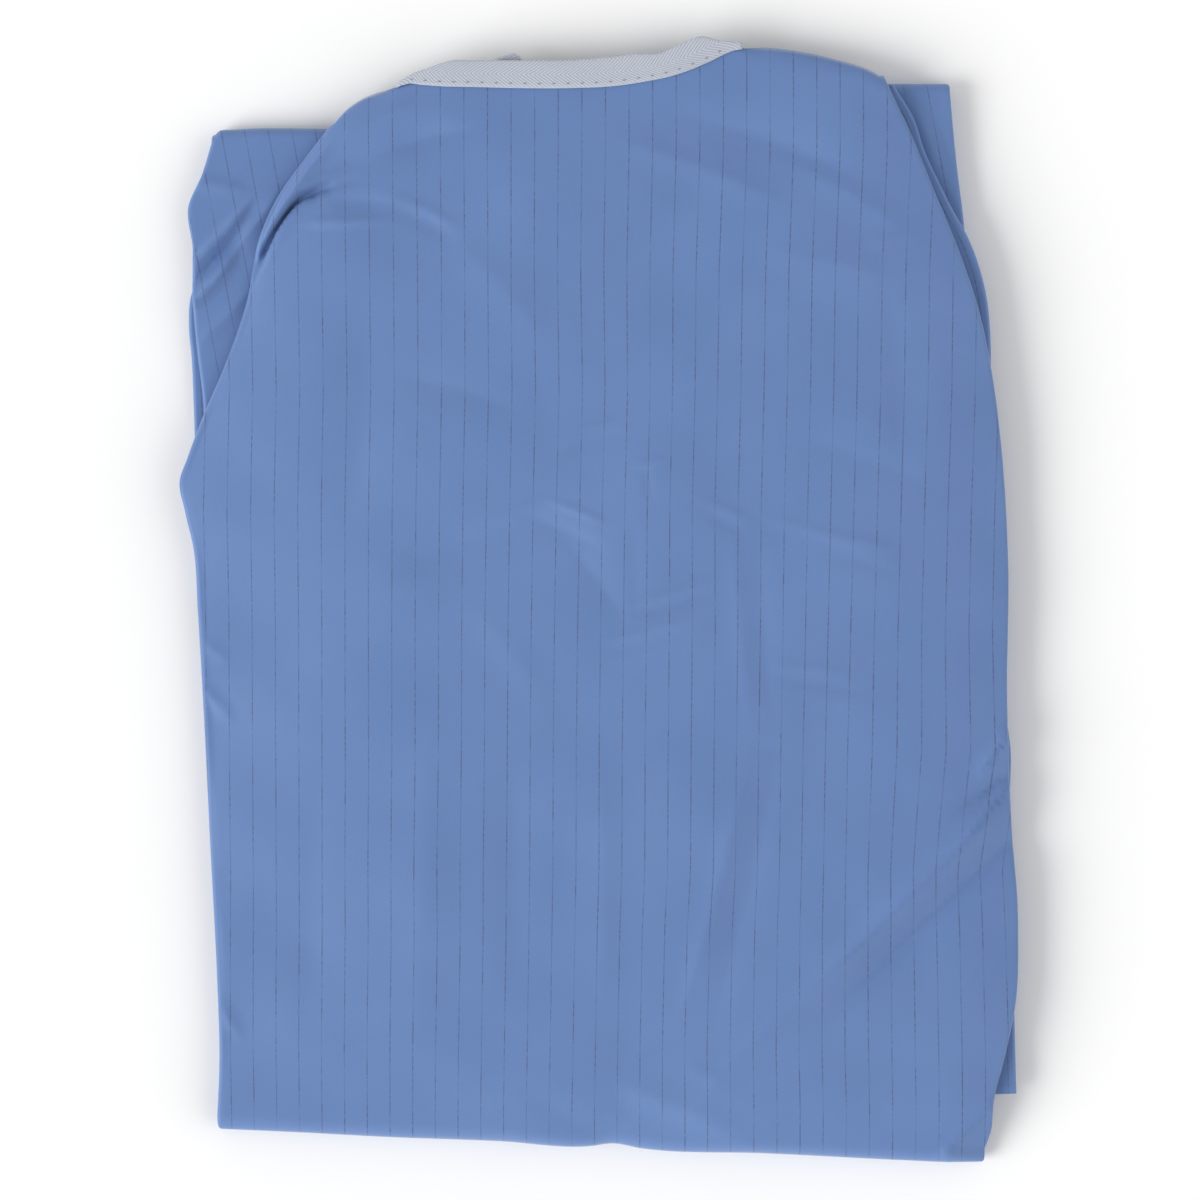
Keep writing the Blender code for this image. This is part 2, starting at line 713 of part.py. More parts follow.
def build():
    """Clear the scene and lay out the folded gown."""
    for item in list(bpy.data.objects):
        bpy.data.objects.remove(item)
    bpy.context.scene.collection.children.link(bpy.data.collections.new(COLLECTION))
    front_panel()
    back_panel("right_back_panel", right_back_top, RIGHT_SIDE_X, RIGHT_CENTRE_X, ("low",))
    back_panel("left_back_panel", left_back_top, LEFT_CENTRE_X, LEFT_SIDE_X, ("high",))
    folded_strip("left_sleeve", LEFT_SLEEVE_EDGE, LEFT_SLEEVE_ROLL, SLEEVE_TUCK, CLOTH)
    folded_strip("right_sleeve", RIGHT_SLEEVE_EDGE, RIGHT_SLEEVE_ROLL, SLEEVE_TUCK, CLOTH, side=-1)
    neck_binding()
    folded_strip("back_neck_binding", BACK_BAND_EDGE, BACK_BAND_ROLL, BACK_BAND_TUCK, TAPE)
    folded_layers()


build()
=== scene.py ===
"""Looks of a reusable apron gown of pinstriped barrier cloth, folded flat with its front up.

Tables and sizes are millimetres in the frame of the solids: z = 0 is the surface that the pack
lies on, +Y is the neck and +X the wearer's left. Meshes are metres. Each piece of cloth is a thin
shell on the form of its solid, with its creases placed one by one.
"""

from collections import namedtuple
from math import cos, pi, radians, sin

import bpy
import numpy as np
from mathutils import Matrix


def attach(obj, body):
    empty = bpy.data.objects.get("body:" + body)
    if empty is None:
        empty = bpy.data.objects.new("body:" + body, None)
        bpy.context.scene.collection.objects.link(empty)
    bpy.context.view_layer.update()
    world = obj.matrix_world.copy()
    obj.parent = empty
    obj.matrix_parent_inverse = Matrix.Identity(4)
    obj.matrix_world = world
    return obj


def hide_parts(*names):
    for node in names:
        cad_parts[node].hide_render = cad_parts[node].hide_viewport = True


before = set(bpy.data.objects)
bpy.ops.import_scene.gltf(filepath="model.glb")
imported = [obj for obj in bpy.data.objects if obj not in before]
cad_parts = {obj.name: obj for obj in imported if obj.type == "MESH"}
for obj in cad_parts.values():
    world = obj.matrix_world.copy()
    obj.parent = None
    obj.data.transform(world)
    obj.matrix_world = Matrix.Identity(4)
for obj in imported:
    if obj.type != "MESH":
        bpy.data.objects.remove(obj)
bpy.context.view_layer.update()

bl_info = {
    "name": "Folded apron gown",
    "version": (1, 0, 0),
    "blender": (4, 5, 0),
    "location": "3D View > Sidebar > Gown",
    "description": "Models a folded pinstriped apron gown with its neck tape, seams and stage",
    "category": "Add Mesh",
}

MM = 0.001
UP = np.array([0.0, 0.0, 1.0])

# Heights of the layers and radii of the turned edges, as the solids have them.
UNDER_ROLL = 1.5
BACK_TOP = 9.9
BACK_ROLL = 1.5
FRONT_ROLL = 1.8
CROWN_FLATNESS = 2.6
CROWN_LENGTH = 0.93
MARGIN = 8.0
SLEEVE_TUCK = 12.0
FRONT_NOSE = 6.0
BACK_NOSE = 4.0
HEM_Y = -45.0
RIGHT_SIDE_X = -162.5
RIGHT_CENTRE_X = -5.15
LEFT_CENTRE_X = -4.85
LEFT_SIDE_X = 160.0
UNDER_INSET = 2.0
UNDER_SETTLE = 3.0

# How finely the cloth is divided, and the forms of its small parts.
ROLL_STEPS = 8
NOSE_STEPS = 10
FACE_ROWS = 226
FACE_COLUMNS = 160
# Shares of the rows and columns of the face against shares of its length and width, so that
# they lie closest where the fine creases are.
ROW_KNOTS = ((0.0, 0.31, 0.69, 1.0), (0.0, 0.30, 0.60, 1.0))
COLUMN_KNOTS = ((0.0, 0.28, 0.74, 1.0), (0.0, 0.36, 0.68, 1.0))
TUCK_COLUMNS = 28
TUCK_SPAN = 36.0
UNDER_ROWS = 30
BACK_ROWS = 72
BACK_COLUMNS = 112
BACK_UNDER_ROWS = 60
BACK_EDGE_SHARE = 0.01
STRIP_ROWS = 150
STRIP_COLUMNS = 3
TAPE_ROWS = 120
TAPE_COLUMNS = 6
TAPE_SAMPLES = 400
LIP_FLANK = 1.4
LIP_REACH = 3.2
ROLL_FLANK = 3.8
ROLL_RISE = 0.45
TUCK_FLOOR = 2.2
EDGE_COLUMNS = 3
EDGE_SPAN = 4.0
CLOSING_STEPS = 12
NECK_SHARES = (0.5, 0.1)
STRIPE_PITCH = 10.0
TAPE_ROLL = 0.9
TAPE_CHEVRON = 6.0
TWILL_PITCH = 1.3
WEAVE_PITCH = 0.9
TAPE_STITCH_PITCH = 6.2
TAPE_STITCH_INSET = 2.0
STITCH_PITCH = 3.4
STITCH_SEAT = 0.05
STITCH_SIDES = 8
# Share of the thread colour kept in the painted shade of its twist.
THREAD_TWIST_SHADE = 0.8
STITCH_BEVEL = 0.3
STITCH_FLATNESS = 0.6
STITCH_BOW = 0.35
STRIPE_SHOW = 0.58
HEM_DEPTH = 12.0
EDGE_STITCH = 5.0
SEAM_INSET = 4.0
RING_SOFTENING = 6
LOBE_STEPS = 5
FLOOR_DROP = -0.3
FLOOR_SIZE = 8.0
CAMERA_LENS = 200.0
CAMERA_PLANE = 12.0
# A light tent: brighter walls than top, and two broad soft lights that shine low across the pack.
TENT_WALL = 1.05
TENT_TOP = 0.39
Lamp = namedtuple("Lamp", "name x y z width strength")
LAMPS = (
    Lamp("low left light", -1.0, -0.42, 0.59, 41.0, 2.7),
    Lamp("low right light", 1.0, -0.2, 0.7, 60.0, 0.7),
)

Edge = namedtuple("Edge", "x y z")
Tuck = namedtuple("Tuck", "x y depth lip")
Strip = namedtuple("Strip", "x y rise")
Band = namedtuple("Band", "seam_x seam_y fold_x fold_y")
Span = namedtuple("Span", "y left right")
Crease = namedtuple("Crease", "x y far_x far_y bow reach height")
Grain = namedtuple("Grain", "y third ninth fifteenth twenty_first twenty_seventh last")
Panel = namedtuple(
    "Panel", "top under toward nose stations under_rows shares count leaning rolls radius"
)
Wave = namedtuple("Wave", "length turn offset height")
Layers = namedtuple("Layers", "plan low high lobes inset seed")


def table(kind, *rows):
    """Rows of a table, with their columns named by its kind."""
    return [kind(*row) for row in rows]


def level_edge(*places):
    """An edge that lies level at the top of the back panels."""
    return [Edge(x, y, BACK_TOP) for x, y in places]


# Right shoulder, neckline under its binding, left shoulder. z is the top of the cloth.
FRONT_TOP = table(
    Edge,
    (-115.1, 203.4, 14.5), (-111, 209.5, 15), (-102.6, 215.9, 15.6), (-90.9, 219.8, 16.2),
    (-84, 221.8, 16.5), (-76, 223.8, 16.5), (-67, 227.2, 16.5), (-56, 229.2, 16.5),
    (-34.5, 229.4, 16.5), (-10, 229.5, 16.5), (8, 230.6, 16.5), (22, 232.2, 16.6),
    (34, 235.2, 16.7), (44, 238.6, 16.8), (53, 238.2, 16.9), (61, 237.4, 17), (71.1, 237.9, 17),
    (86.2, 236.2, 17), (103.4, 232.3, 17.3), (116.4, 228, 17.4), (122, 224.8, 17.4),
)

FRONT_RIGHT_SIDE = table(
    Edge,
    (-115.1, 203.4, 14.5), (-125.9, 189.6, 14.3), (-138.8, 171.5, 14.1), (-147, 152.1, 14.1),
    (-151.3, 129.3, 14.1), (-161.2, 100.4, 14.1), (-170.7, 78.4, 14.1), (-177.6, 60.3, 14.1),
    (-180.9, 50.5, 13.6), (-178.6, 37.5, 13), (-175, 21.6, 12.2), (-173.3, -4.3, 11.2),
    (-170.2, -60.3, 10.8), (-167.7, -112.1, 10.8), (-165.1, -163.8, 10.8), (-164.2, -200, 10.8),
    (-165.1, -222.4, 10.8),
)

FRONT_LEFT_SIDE = table(
    Edge,
    (122, 224.8, 17.4), (124.6, 218.9, 17.4), (132.7, 202.1, 17.4), (142.7, 178, 17.4),
    (155.6, 146.5, 17.4), (163.1, 123.7, 17), (168.1, 100.9, 16.6), (173.3, 60.3, 15.6),
    (175.8, 17.2, 14.6), (175.4, -43.1, 14), (176.7, -86.2, 13.9), (180.2, -142.2, 13.9),
    (179.3, -172.4, 13.9), (174.6, -196.1, 13.9), (169.4, -218.5, 13.4), (169, -228, 11.5),
    (166.2, -236.8, 10),
)

FRONT_FOLD = table(
    Edge,
    (-165.1, -222.4, 10.8), (-133.6, -223.7, 11.6), (-90.5, -225.9, 12.4), (-43.1, -227.6, 12.8),
    (-4.3, -229.8, 12.8), (5.6, -228.6, 12.6), (17.2, -230.6, 12.8), (71.1, -232.8, 13.2),
    (129.3, -235.8, 12.8), (150, -236.7, 12), (166.2, -236.8, 10),
)

# The deep tuck beside the right shoulder: its valley in plan, its depth, and how far its lip
# hangs over it.
SHOULDER_TUCK = table(
    Tuck,
    (-102, 181, 0, 0), (-118.5, 175.5, 1.8, 0.5), (-126.4, 171.8, 3.8, 2),
    (-130.2, 167.7, 4.9, 3.2), (-133.6, 162.9, 5.1, 3.6), (-137.5, 156.9, 5.1, 3.6),
    (-142.2, 148.7, 4.4, 2.6), (-145.7, 143.5, 2.4, 1), (-149.6, 136.8, 0, 0),
)
TUCK_FLANK = 4.0
CREASE_TAPER = 2.6
CREASE_END = 0.45
CREASE_SHARPNESS = 1.7
SHOULDER_DROP = 3.4
SHOULDER_ROUND = 9.0

# Upper run of the right back panel, from its hidden end under the front to the top fold.
RIGHT_BACK_START = level_edge((-170, 62), (-146, 112), (-118, 158), (-86, 178), (RIGHT_CENTRE_X, 184))
RIGHT_BACK_SIDE = level_edge(
    (-170, 62), (-171.1, 86.2), (-173.3, 104.7), (-175.6, 133.6), (-175.4, 150), (-177.3, 168.5),
    (-171.5, 181.9), (-167.2, 195.7),
)
RIGHT_BACK_CENTRE = level_edge((RIGHT_CENTRE_X, 184), (RIGHT_CENTRE_X, 199.6))
RIGHT_BACK_FOLD = level_edge(
    (-167.2, 195.7), (-164.6, 198.6), (-158.6, 199.2), (-115, 199.6), (RIGHT_CENTRE_X, 199.6),
)

LEFT_BACK_START = level_edge((LEFT_CENTRE_X, 190), (84, 186), (112, 164), (138, 116), (159, 104))
LEFT_BACK_SIDE = level_edge(
    (159, 104), (158.5, 130), (157.7, 158), (154.3, 186.2), (152.6, 202.1), (151.1, 219),
)
LEFT_BACK_CENTRE = level_edge((LEFT_CENTRE_X, 190), (LEFT_CENTRE_X, 219))
LEFT_BACK_FOLD = level_edge((LEFT_CENTRE_X, 219), (80, 219), (151.1, 219))

# Folded edges of the sleeves: their outer line, and how high their lower face lies.
LEFT_SLEEVE_EDGE = table(
    Strip,
    (126.3, 222.4, 10.3), (135.8, 206.4, 10.3), (139.6, 194.4, 10.3), (146.1, 180.2, 10.3),
    (152.6, 167.2, 10.3), (157.3, 159, 10.3), (163.1, 144.8, 10.3), (167.2, 127, 10.3),
    (168.4, 112, 10.3), (168.6, 98, 10), (172.5, 50, 7.6), (174.6, 0, 7), (175.4, -49.6, 7),
    (177.3, -66, 7), (177.1, -78, 7), (176, -95, 7), (178, -142, 7), (178.9, -181, 7),
    (179.7, -212.9, 7),
)
RIGHT_SLEEVE_EDGE = table(
    Strip,
    (-174, 140, 3.3), (-177.2, 129, 3.3), (-177.6, 118.5, 3.3), (-176.4, 104, 3.3),
    (-175.6, 86, 3.3), (-175, 66.8, 3.3), (-174, 40, 3.3), (-171, 0, 3.3),
)
LEFT_SLEEVE_ROLL = 1.5
RIGHT_SLEEVE_ROLL = 1.6

# The binding along the neckline: its sewn edge on the front, and its fold.
NECK_BAND = table(
    Band,
    (-87.8, 220.4, -86.9, 223), (-83, 222.2, -80.6, 226.6), (-77, 221.7, -75, 228.6),
    (-68, 221, -65.5, 231.9), (-54.7, 220.7, -53.5, 232.3), (-34.5, 220.2, -34, 232.3),
    (-12.9, 220.2, -12.5, 232.4), (6.5, 221.1, 4, 233.8), (20, 223.1, 16, 235.2),
    (31, 225.4, 25.5, 235.3), (40, 228.5, 33, 238.5), (48.5, 232.2, 44, 242.6),
    (54, 235, 52, 240.8), (58, 236.5, 57.6, 240.3), (61.2, 236.9, 61.2, 239.9),
)

BACK_BAND_EDGE = table(
    Strip,
    (-58, 229.6, 10.3), (-50.5, 231.3, 10.3), (-46.1, 232.5, 10.3), (-43.1, 234, 10.3),
    (-39.7, 235.2, 10.3), (-37.1, 235.8, 10.3), (-34.9, 234.6, 10.3), (-32.8, 232.5, 10.3),
    (-28, 230.4, 10.3), (-22, 229.4, 10.3),
)
BACK_BAND_ROLL = 1.5
BACK_BAND_TUCK = 9.0
BACK_BAND_EVENNESS = 0.9

# Plans of the hidden layers, a row for each station from the neck down: their foot inside the
# turned edges, the lower folds that show at the edges, and the slot that takes the panels' ends.
FOOT = table(
    Span,
    (216, 2, 138), (198, 2, 140), (195.5, -146, 140.5), (180, -149, 142), (150, -151, 145),
    (105, -151, 148), (60, -151, 148), (0, -151, 148), (-50, -151, 148), (-100, -151, 148),
    (-150, -150, 148), (-200, -150, 148), (-219, -148, 146),
)
LOWER_FOLDS = table(
    Span,
    (218, 0, 149), (199, 0, 150.5), (196.5, -162, 151), (185, -168, 152.5), (152, -172.5, 156),
    (145, -157, 156.5), (60, -157, 165), (-2, -156, 172), (-10, -170.5, 172.5), (-80, -166.8, 174),
    (-150, -163.2, 177.5), (-205, -161.8, 171), (-224, -158, 163),
)
SLOT = table(
    Span,
    (181, 4, 80), (176, 2, 92), (162, -104, 100), (140, -118, 112), (118, -132, 124),
    (96, -142, 138), (50, -152, 150), (0, -157, 156), (-50, -155, 158), (-100, -153, 160),
    (-150, -151, 162), (-200, -149, 156), (-219, -147, 148),
)

# How the tape lies on the front: its height above it, and how far it laps under.
TAPE_LIFT = 0.75
TAPE_TURN = 0.55
TAPE_BACK = 0.8

# Where the pinstripes cross the face at stations down the front.
STRIPE_COUNTS = (2, 8, 14, 20, 26, 31)
PINSTRIPES = table(
    Grain,
    (194, -130.5, -68.7, -7.8, 53.1, 113.3, 164.6),
    (142.2, -129.9, -68.1, -8.3, 51.2, 111.1, 162.1),
    (90.5, -129, -68, -7.5, 50.5, 110.4, 161.5),
    (38.8, -130, -68.9, -8.7, 49.3, 109.1, 159.8),
    (-12.9, -129.7, -69.4, -9.6, 49.5, 107.7, 158.7),
    (-64.7, -129.6, -69.4, -10.2, 49, 106.4, 159.5),
    (-116.4, -129.5, -70.1, -10.3, 48.7, 105.5, 153.9),
    (-142.2, -129.5, -69.9, -10.8, 47.1, 105.2, 154.7),
    (-194, -129.8, -70.7, -11.6, 46, 105.3, 155.8),
    (-219.8, -129.5, -70.9, -12.1, 46.3, 106, 156),
)

# Soft ridges and troughs of the face, each a line with a bow, its reach to a side and its height.
FACE_CREASES = table(
    Crease,
    (-131, 171, -48, 204, 6, 14, -3.2),
    (-126, 186, -66, 217, 5, 12, 1.6),
    (-112, 178.5, -128, 170, -1.5, 7, -1),
    (-134, 163, -84, 164.5, -1, 3.4, 1.5),
    (-120, 170.5, -88, 171, 0.5, 7, -1.4),
    (-100, 175, -54, 153, 4.6, 3.4, 0.9),
    (-94, 168, -60, 150, 3.4, 6, -0.6),
    (-66, 158, -20, 108, 2, 16, 0.9),
    (0, 200, 84, 168, 2, 15, 1.5),
    (24, 210, 118, 178, 4, 16, -1.5),
    (64, 150, 132, 136, 2, 15, 0.9),
    (74, 190, 140, 150, 4, 12, 0.9),
    (112, 151.5, 132, 158.5, 0, 4.2, 0.8),
    (-92, 96, -30, 78, 3, 14, -0.9),
    (-24, 56, 15, 78.2, 6, 3.4, 0.6),
    (-17, 55, 14, 72, 5, 5.6, -0.6),
    (11, 56.2, 31, 60.6, 0.6, 2.6, 0.8),
    (18.6, 60, 21, 38, 1.2, 4, -0.5),
    (-20, 46, -66, 22, -1.8, 4.4, 0.9),
    (-34, 36, -96, 6, -1, 14, -1.1),
    (-28, 44.5, 8, 30.6, 0.8, 3, 0.8),
    (-36, 38, 4, 20, 0.6, 11, -0.9),
    (-20, 30, 12, -12, 2, 16, -1),
    (14, 40, 16, -14, 0, 7, -0.4),
    (36, 46, 70, 32, 0, 4.2, 0.45),
    (62, 38, 118, 20, 1, 5, 0.45),
    (43, 38.5, 64, 27.5, 0, 6.4, -0.5),
    (57, 40, 66, -66, -1, 8, 0.6),
    (67, 38, 75.5, -64, -1, 9, -0.6),
    (66, -56, 30, -196, 2, 10, 1.1),
    (78, -56, 44, -196, 2, 12, -1),
    (60, -62.5, 82, -66, 0.6, 3, -0.7),
    (6, -4, 56, 13, -1.6, 3.2, 0.8),
    (10, -7.5, 52, 6.4, -1.6, 5, -0.9),
    (-10, -20.5, 46, -5, -1, 3.2, 0.65),
    (-2, -24, 40, -11.6, -1, 5, -0.6),
    (66, -27, 112, -32.5, 0.8, 4.4, 0.4),
    (70, -33.4, 118, -40.6, 0.8, 5, -0.5),
    (78, -46.6, 112, -51, 0.4, 4.2, -0.4),
    (86, 30.6, 132, 19.6, 0.8, 5, 0.5),
    (92, 20.6, 130, 10.8, 0.8, 7.6, -0.6),
    (80, 70, 150, 44, 3, 18, -0.9),
    (186, -44, 158, -82, 0.6, 7, 3.8),
    (196, -64, 146, -95, 0, 4.4, -1.9),
    (196, -57, 148, -114, 0, 5, 3),
    (200, -69, 78, -182, -2, 13, 4.4),
    (206, -81, 92, -186, -3, 14, -3.8),
    (120, -142, 36, -222, -2, 10, 1.6),
    (-176, -34, -156, -55, 0.6, 6, 0.9),
    (-174, -16, -158, -28, 0, 6, 0.6),
    (-172, -168, -152, -192, 0.8, 6, 0.9),
    (0, -206, 70, -236, 2, 12, 1.1),
    (-34, -210, 14, -236, -2, 12, -0.6),
    (34, -200.4, 56, -208.6, 0.6, 3.8, 0.6),
    (192, -195, 126, -261, 0, 3.8, 2.2),
    (200, -203, 134, -269, 0, 12, -3.4),
    (-110, 203, -150, 142, -3.5, 7.5, 2.4),
    (-0.5, -60, 0.5, -182, 2, 20, 0.9),
    (-37, -52, -34, -180, -2, 18, -0.9),
    (-75, -40, -82, -202, 3, 22, 0.9),
    (-120, -60, -124, -200, -2, 20, -0.7),
    (120, 150, 130, 36, 4, 18, -0.9),
    (-100, 124, -114, 14, 4, 20, -0.9),
    (-60, 4, -20, -52, 3, 16, 0.8),
)

# Broad unevenness of the stack beneath: wave length, direction in degrees, offset and height.
FACE_WAVES = table(
    Wave, (118, 12, 0.4, 0.42), (83, -28, 1.9, 0.34), (61, 74, 3.1, 0.24), (39, 41, 5.2, 0.1)
)

# Creases pressed into the flat underside, by the panel they lie in.
UNDER_CREASES = table(
    Crease,
    (-140, 150, -60, 96, 4, 5, 0.3),
    (-120, 60, -30, 40, -3, 4, 0.25),
    (-90, -10, -96, -40, 1, 4, 0.3),
    (30, 170, 120, 130, 5, 5, 0.3),
    (60, 20, 140, 44, -4, 4, 0.25),
    (40, -20, 46, -44, 1, 4, 0.3),
    (-120, -90, -70, -140, 3, 5, 0.3),
    (20, -80, 100, -120, -5, 5, 0.3),
    (-20, -150, -14, -210, 2, 5, 0.25),
    (120, -150, 150, -200, 2, 5, 0.3),
)

RIGHT_BACK_CREASES = table(
    Crease,
    (-148, 176, -184, 139, 2, 4.4, 3.9),
    (-154, 156, -184, 119, 2, 4.4, 3.7),
    (-150, 166, -184, 130, 2, 5, -2.5),
    (-136, 182, -160, 150, 2, 10, 1.6),
    (-184, 182, -148, 176, 0, 6, 1.3),
    (-148, 138, -182, 102, 1, 6, 1.4),
)
LEFT_BACK_CREASES = table(
    Crease,
    (134, 216, 147, 178, 1, 7, 0.7),
    (142, 214, 156, 174, 0, 6, -0.7),
)

# How the back panels' grain leans beside their top fold, and where it has straightened.
BACK_LEAN = 10.5
LEAN_LENGTH = 90.0
RIGHT_BACK_YARN = -126.0
LEFT_BACK_YARN = 141.4
LAP = 7.0
LAP_RISE = 0.5

# Stacks of folded edges hidden in the pack, each with its plan, heights and number of lobes, then
# the heights over it and how far each is drawn in towards the middle.
STACK = (
    Layers(FOOT, 0.9, 3.2, 2, 1.0, 0.3),
    Layers(LOWER_FOLDS, 3.25, 6.75, 4, 1.0, 1.1),
    Layers(SLOT, 6.8, 9.6, 3, 1.5, 2.3),
)
STACK_BOTTOM = ((0.9, 0.97), (0.9, 0.4))
STACK_TOP = ((10.0, 0.03), (13.0, 0.2), (15.0, 0.5), (15.5, 0.97))
LOBE_DEPTH = 1.3
LOBE_SPACING = 0.96
LOBE_WAVES = ((3, 0.5), (7, 0.35), (13, 0.25))
RING_POINTS = 420

# The photographed frame: its width in pixels, and the size of a pixel.
SCREEN_PIXELS = 1200
PIXEL = 0.431


def run_length(points, axis=0):
    """Distance along a line, down a grid's rows or across its columns, to each of its points."""
    steps = np.linalg.norm(np.diff(points, axis=axis), axis=-1)
    return np.insert(np.cumsum(steps, axis=axis), 0, 0.0, axis=axis)


def read_along(points, run, at):
    """Points read between those of a line, at distances along it."""
    return np.stack([np.interp(at, run, column) for column in points.T], 1)


def unit(vectors):
    """Each vector of a list, of length 1."""
    return vectors / np.linalg.norm(vectors, axis=1)[:, None]


def smooth_curve(rows, shares):
    """Points of a smooth curve through the rows, at shares of its length."""
    points = np.array([tuple(row) for row in rows], float)
    steps = np.linalg.norm(np.diff(points[:, :2], axis=0), axis=1)
    reach = np.concatenate([[0.0], np.cumsum(steps)])
    at = np.clip(shares, 0.0, 1.0) * reach[-1]
    i = np.clip(np.searchsorted(reach, at, side="right") - 1, 0, len(steps) - 1)
    step = steps[i][..., None]
    t = (at - reach[i])[..., None] / step
    slopes = np.gradient(points, reach, axis=0)
    return (
        points[i] * (2 * t**3 - 3 * t**2 + 1)
        + slopes[i] * step * (t**3 - 2 * t**2 + t)
        + points[i + 1] * (3 * t**2 - 2 * t**3)
        + slopes[i + 1] * step * (t**3 - t**2)
    )


def patch(start, end, low, high, u, v):
    """Points of the surface hung between four edges: u runs from low to high, v from start to end."""
    u, v = np.broadcast_arrays(u, v)
    a, b = u[..., None], v[..., None]
    corners = (
        (1 - a) * (1 - b) * smooth_curve(start, np.array(0.0))
        + a * (1 - b) * smooth_curve(start, np.array(1.0))
        + (1 - a) * b * smooth_curve(end, np.array(0.0))
        + a * b * smooth_curve(end, np.array(1.0))
    )
    along = (1 - b) * smooth_curve(start, u) + b * smooth_curve(end, u)
    across = (1 - a) * smooth_curve(low, v) + a * smooth_curve(high, v)
    return along + across - corners


def read_table(rows, column, y):
    """A column of a table, read between its rows at heights y up the pack."""
    rows = sorted(rows, key=lambda row: row.y)
    return np.interp(y, [row.y for row in rows], [getattr(row, column) for row in rows])


def bulge(share):
    """0 at both ends of the range 0 to 1, and nearly 1 over its middle."""
    return 1 - np.abs(2 * share - 1) ** CROWN_FLATNESS


def ease(share):
    """0 below the range 0 to 1, 1 above it, and a soft step between."""
    t = np.clip(share, 0.0, 1.0)
    return t * t * (3 - 2 * t)


def hump(share):
    """1 at 0, falling softly to 0 at 1 and at -1."""
    return np.cos(np.clip(share, -1.0, 1.0) * pi / 2) ** 2


def crease_height(creases, x, y):
    """Height that soft ridges and troughs add at places."""
    total = np.zeros_like(x)
    for row in creases:
        line = np.array([row.far_x - row.x, row.far_y - row.y])
        length = np.linalg.norm(line)
        along, side = line / length, np.array([-line[1], line[0]]) / length
        t = ((x - row.x) * along[0] + (y - row.y) * along[1]) / length
        bow = row.bow * 4 * t * (1 - t)
        taper = ease(CREASE_TAPER * t) * ease(CREASE_TAPER * (1 - t))
        reach = row.reach * (CREASE_END + (1 - CREASE_END) * taper)
        aside = np.abs((x - row.x) * side[0] + (y - row.y) * side[1] - bow) / reach
        total += row.height * taper * np.maximum(1 - aside, 0.0) ** CREASE_SHARPNESS
    return total


def wave_height(x, y):
    """Height of the broad unevenness of the stack under the face."""
    total = np.zeros_like(x)
    for wave in FACE_WAVES:
        turn = radians(wave.turn)
        along = (x * cos(turn) + y * sin(turn)) / wave.length
        total += wave.height * np.sin(2 * pi * along + wave.offset)
    return total


def tuck_beside(x, y):
    """How far places lie from the tuck's valley, the way back to it, and its depth and lip there."""
    nearest = np.full_like(x, np.inf)
    found = [np.zeros_like(x) for _ in range(5)]
    for a, b in zip(SHOULDER_TUCK, SHOULDER_TUCK[1:]):
        line = np.array([b.x - a.x, b.y - a.y])
        length = np.linalg.norm(line)
        t = np.clip(((x - a.x) * line[0] + (y - a.y) * line[1]) / length**2, 0.0, 1.0)
        off_x, off_y = x - a.x - t * line[0], y - a.y - t * line[1]
        away = np.hypot(off_x, off_y)
        aside = away * np.sign(line[0] * off_y - line[1] * off_x)
        closer = away < nearest
        nearest = np.where(closer, away, nearest)
        here = (
            aside, line[1] / length, -line[0] / length,
            a.depth + (b.depth - a.depth) * t, a.lip + (b.lip - a.lip) * t,
        )
        found = [np.where(closer, new, old) for new, old in zip(here, found)]
    return found


def front_surface(u, v):
    """Face of the front on top of the pack, before its folds."""
    crown = bpy.context.scene.gown_sizes.crown_rise / MM
    points = patch(FRONT_TOP, FRONT_FOLD, FRONT_RIGHT_SIDE, FRONT_LEFT_SIDE, u, v)
    points[..., 2] += crown * bulge(u) * bulge(CROWN_LENGTH * v)
    return points


def front_top(u, v):
    """Face of the front with its rounded shoulders, its tuck, its lip and its soft creases."""
    u, v = np.broadcast_arrays(np.asarray(u, float), np.asarray(v, float))
    points, edge = front_surface(u, v), front_surface(np.zeros_like(u), v)
    brow = front_surface(u, np.zeros_like(v))
    x, y = points[..., 0], points[..., 1]
    beside = np.maximum(NECK_BAND[0].seam_x - x, x - NECK_BAND[-1].fold_x)
    lean = np.clip(1 - np.hypot(*(points - brow)[..., :2].T).T / SHOULDER_ROUND, 0.0, 1.0)
    drop = SHOULDER_DROP * np.clip(beside / SHOULDER_ROUND, 0.0, 1.0) * (1 - np.sqrt(1 - lean**2))
    from_edge = np.linalg.norm((points - edge)[..., :2], axis=-1)
    aside, toward_x, toward_y, depth, lip = tuck_beside(x, y)
    past_floor = aside + TUCK_FLOOR
    slope = np.where(aside < 0, -past_floor / ROLL_FLANK, aside / LIP_FLANK)
    drop += depth * hump(np.maximum(slope, 0.0))
    drop -= ROLL_RISE * depth * hump(past_floor / ROLL_FLANK + 1)
    over = lip * hump((aside - LIP_FLANK) / LIP_REACH)
    points[..., 0] += toward_x * over
    points[..., 1] += toward_y * over
    fade = np.clip(from_edge / TUCK_FLANK, 0.0, 1.0)
    points[..., 2] += (crease_height(FACE_CREASES, x, y) + wave_height(x, y)) * ease(fade) - drop
    return points


def front_height(x, y):
    """Height of the front's face at places near the neck, found by closing in on them."""
    u, v = (np.full_like(x, share) for share in NECK_SHARES)
    for _ in range(CLOSING_STEPS):
        points = front_surface(u, v)
        width = front_surface(np.ones_like(v), v)[:, 0] - front_surface(np.zeros_like(v), v)[:, 0]
        length = front_surface(u, np.zeros_like(u))[:, 1] - front_surface(u, np.ones_like(u))[:, 1]
        u = np.clip(u + (x - points[:, 0]) / width, 0.0, 1.0)
        v = np.clip(v + (points[:, 1] - y) / length, 0.0, 1.0)
    return front_top(u, v)[:, 2]


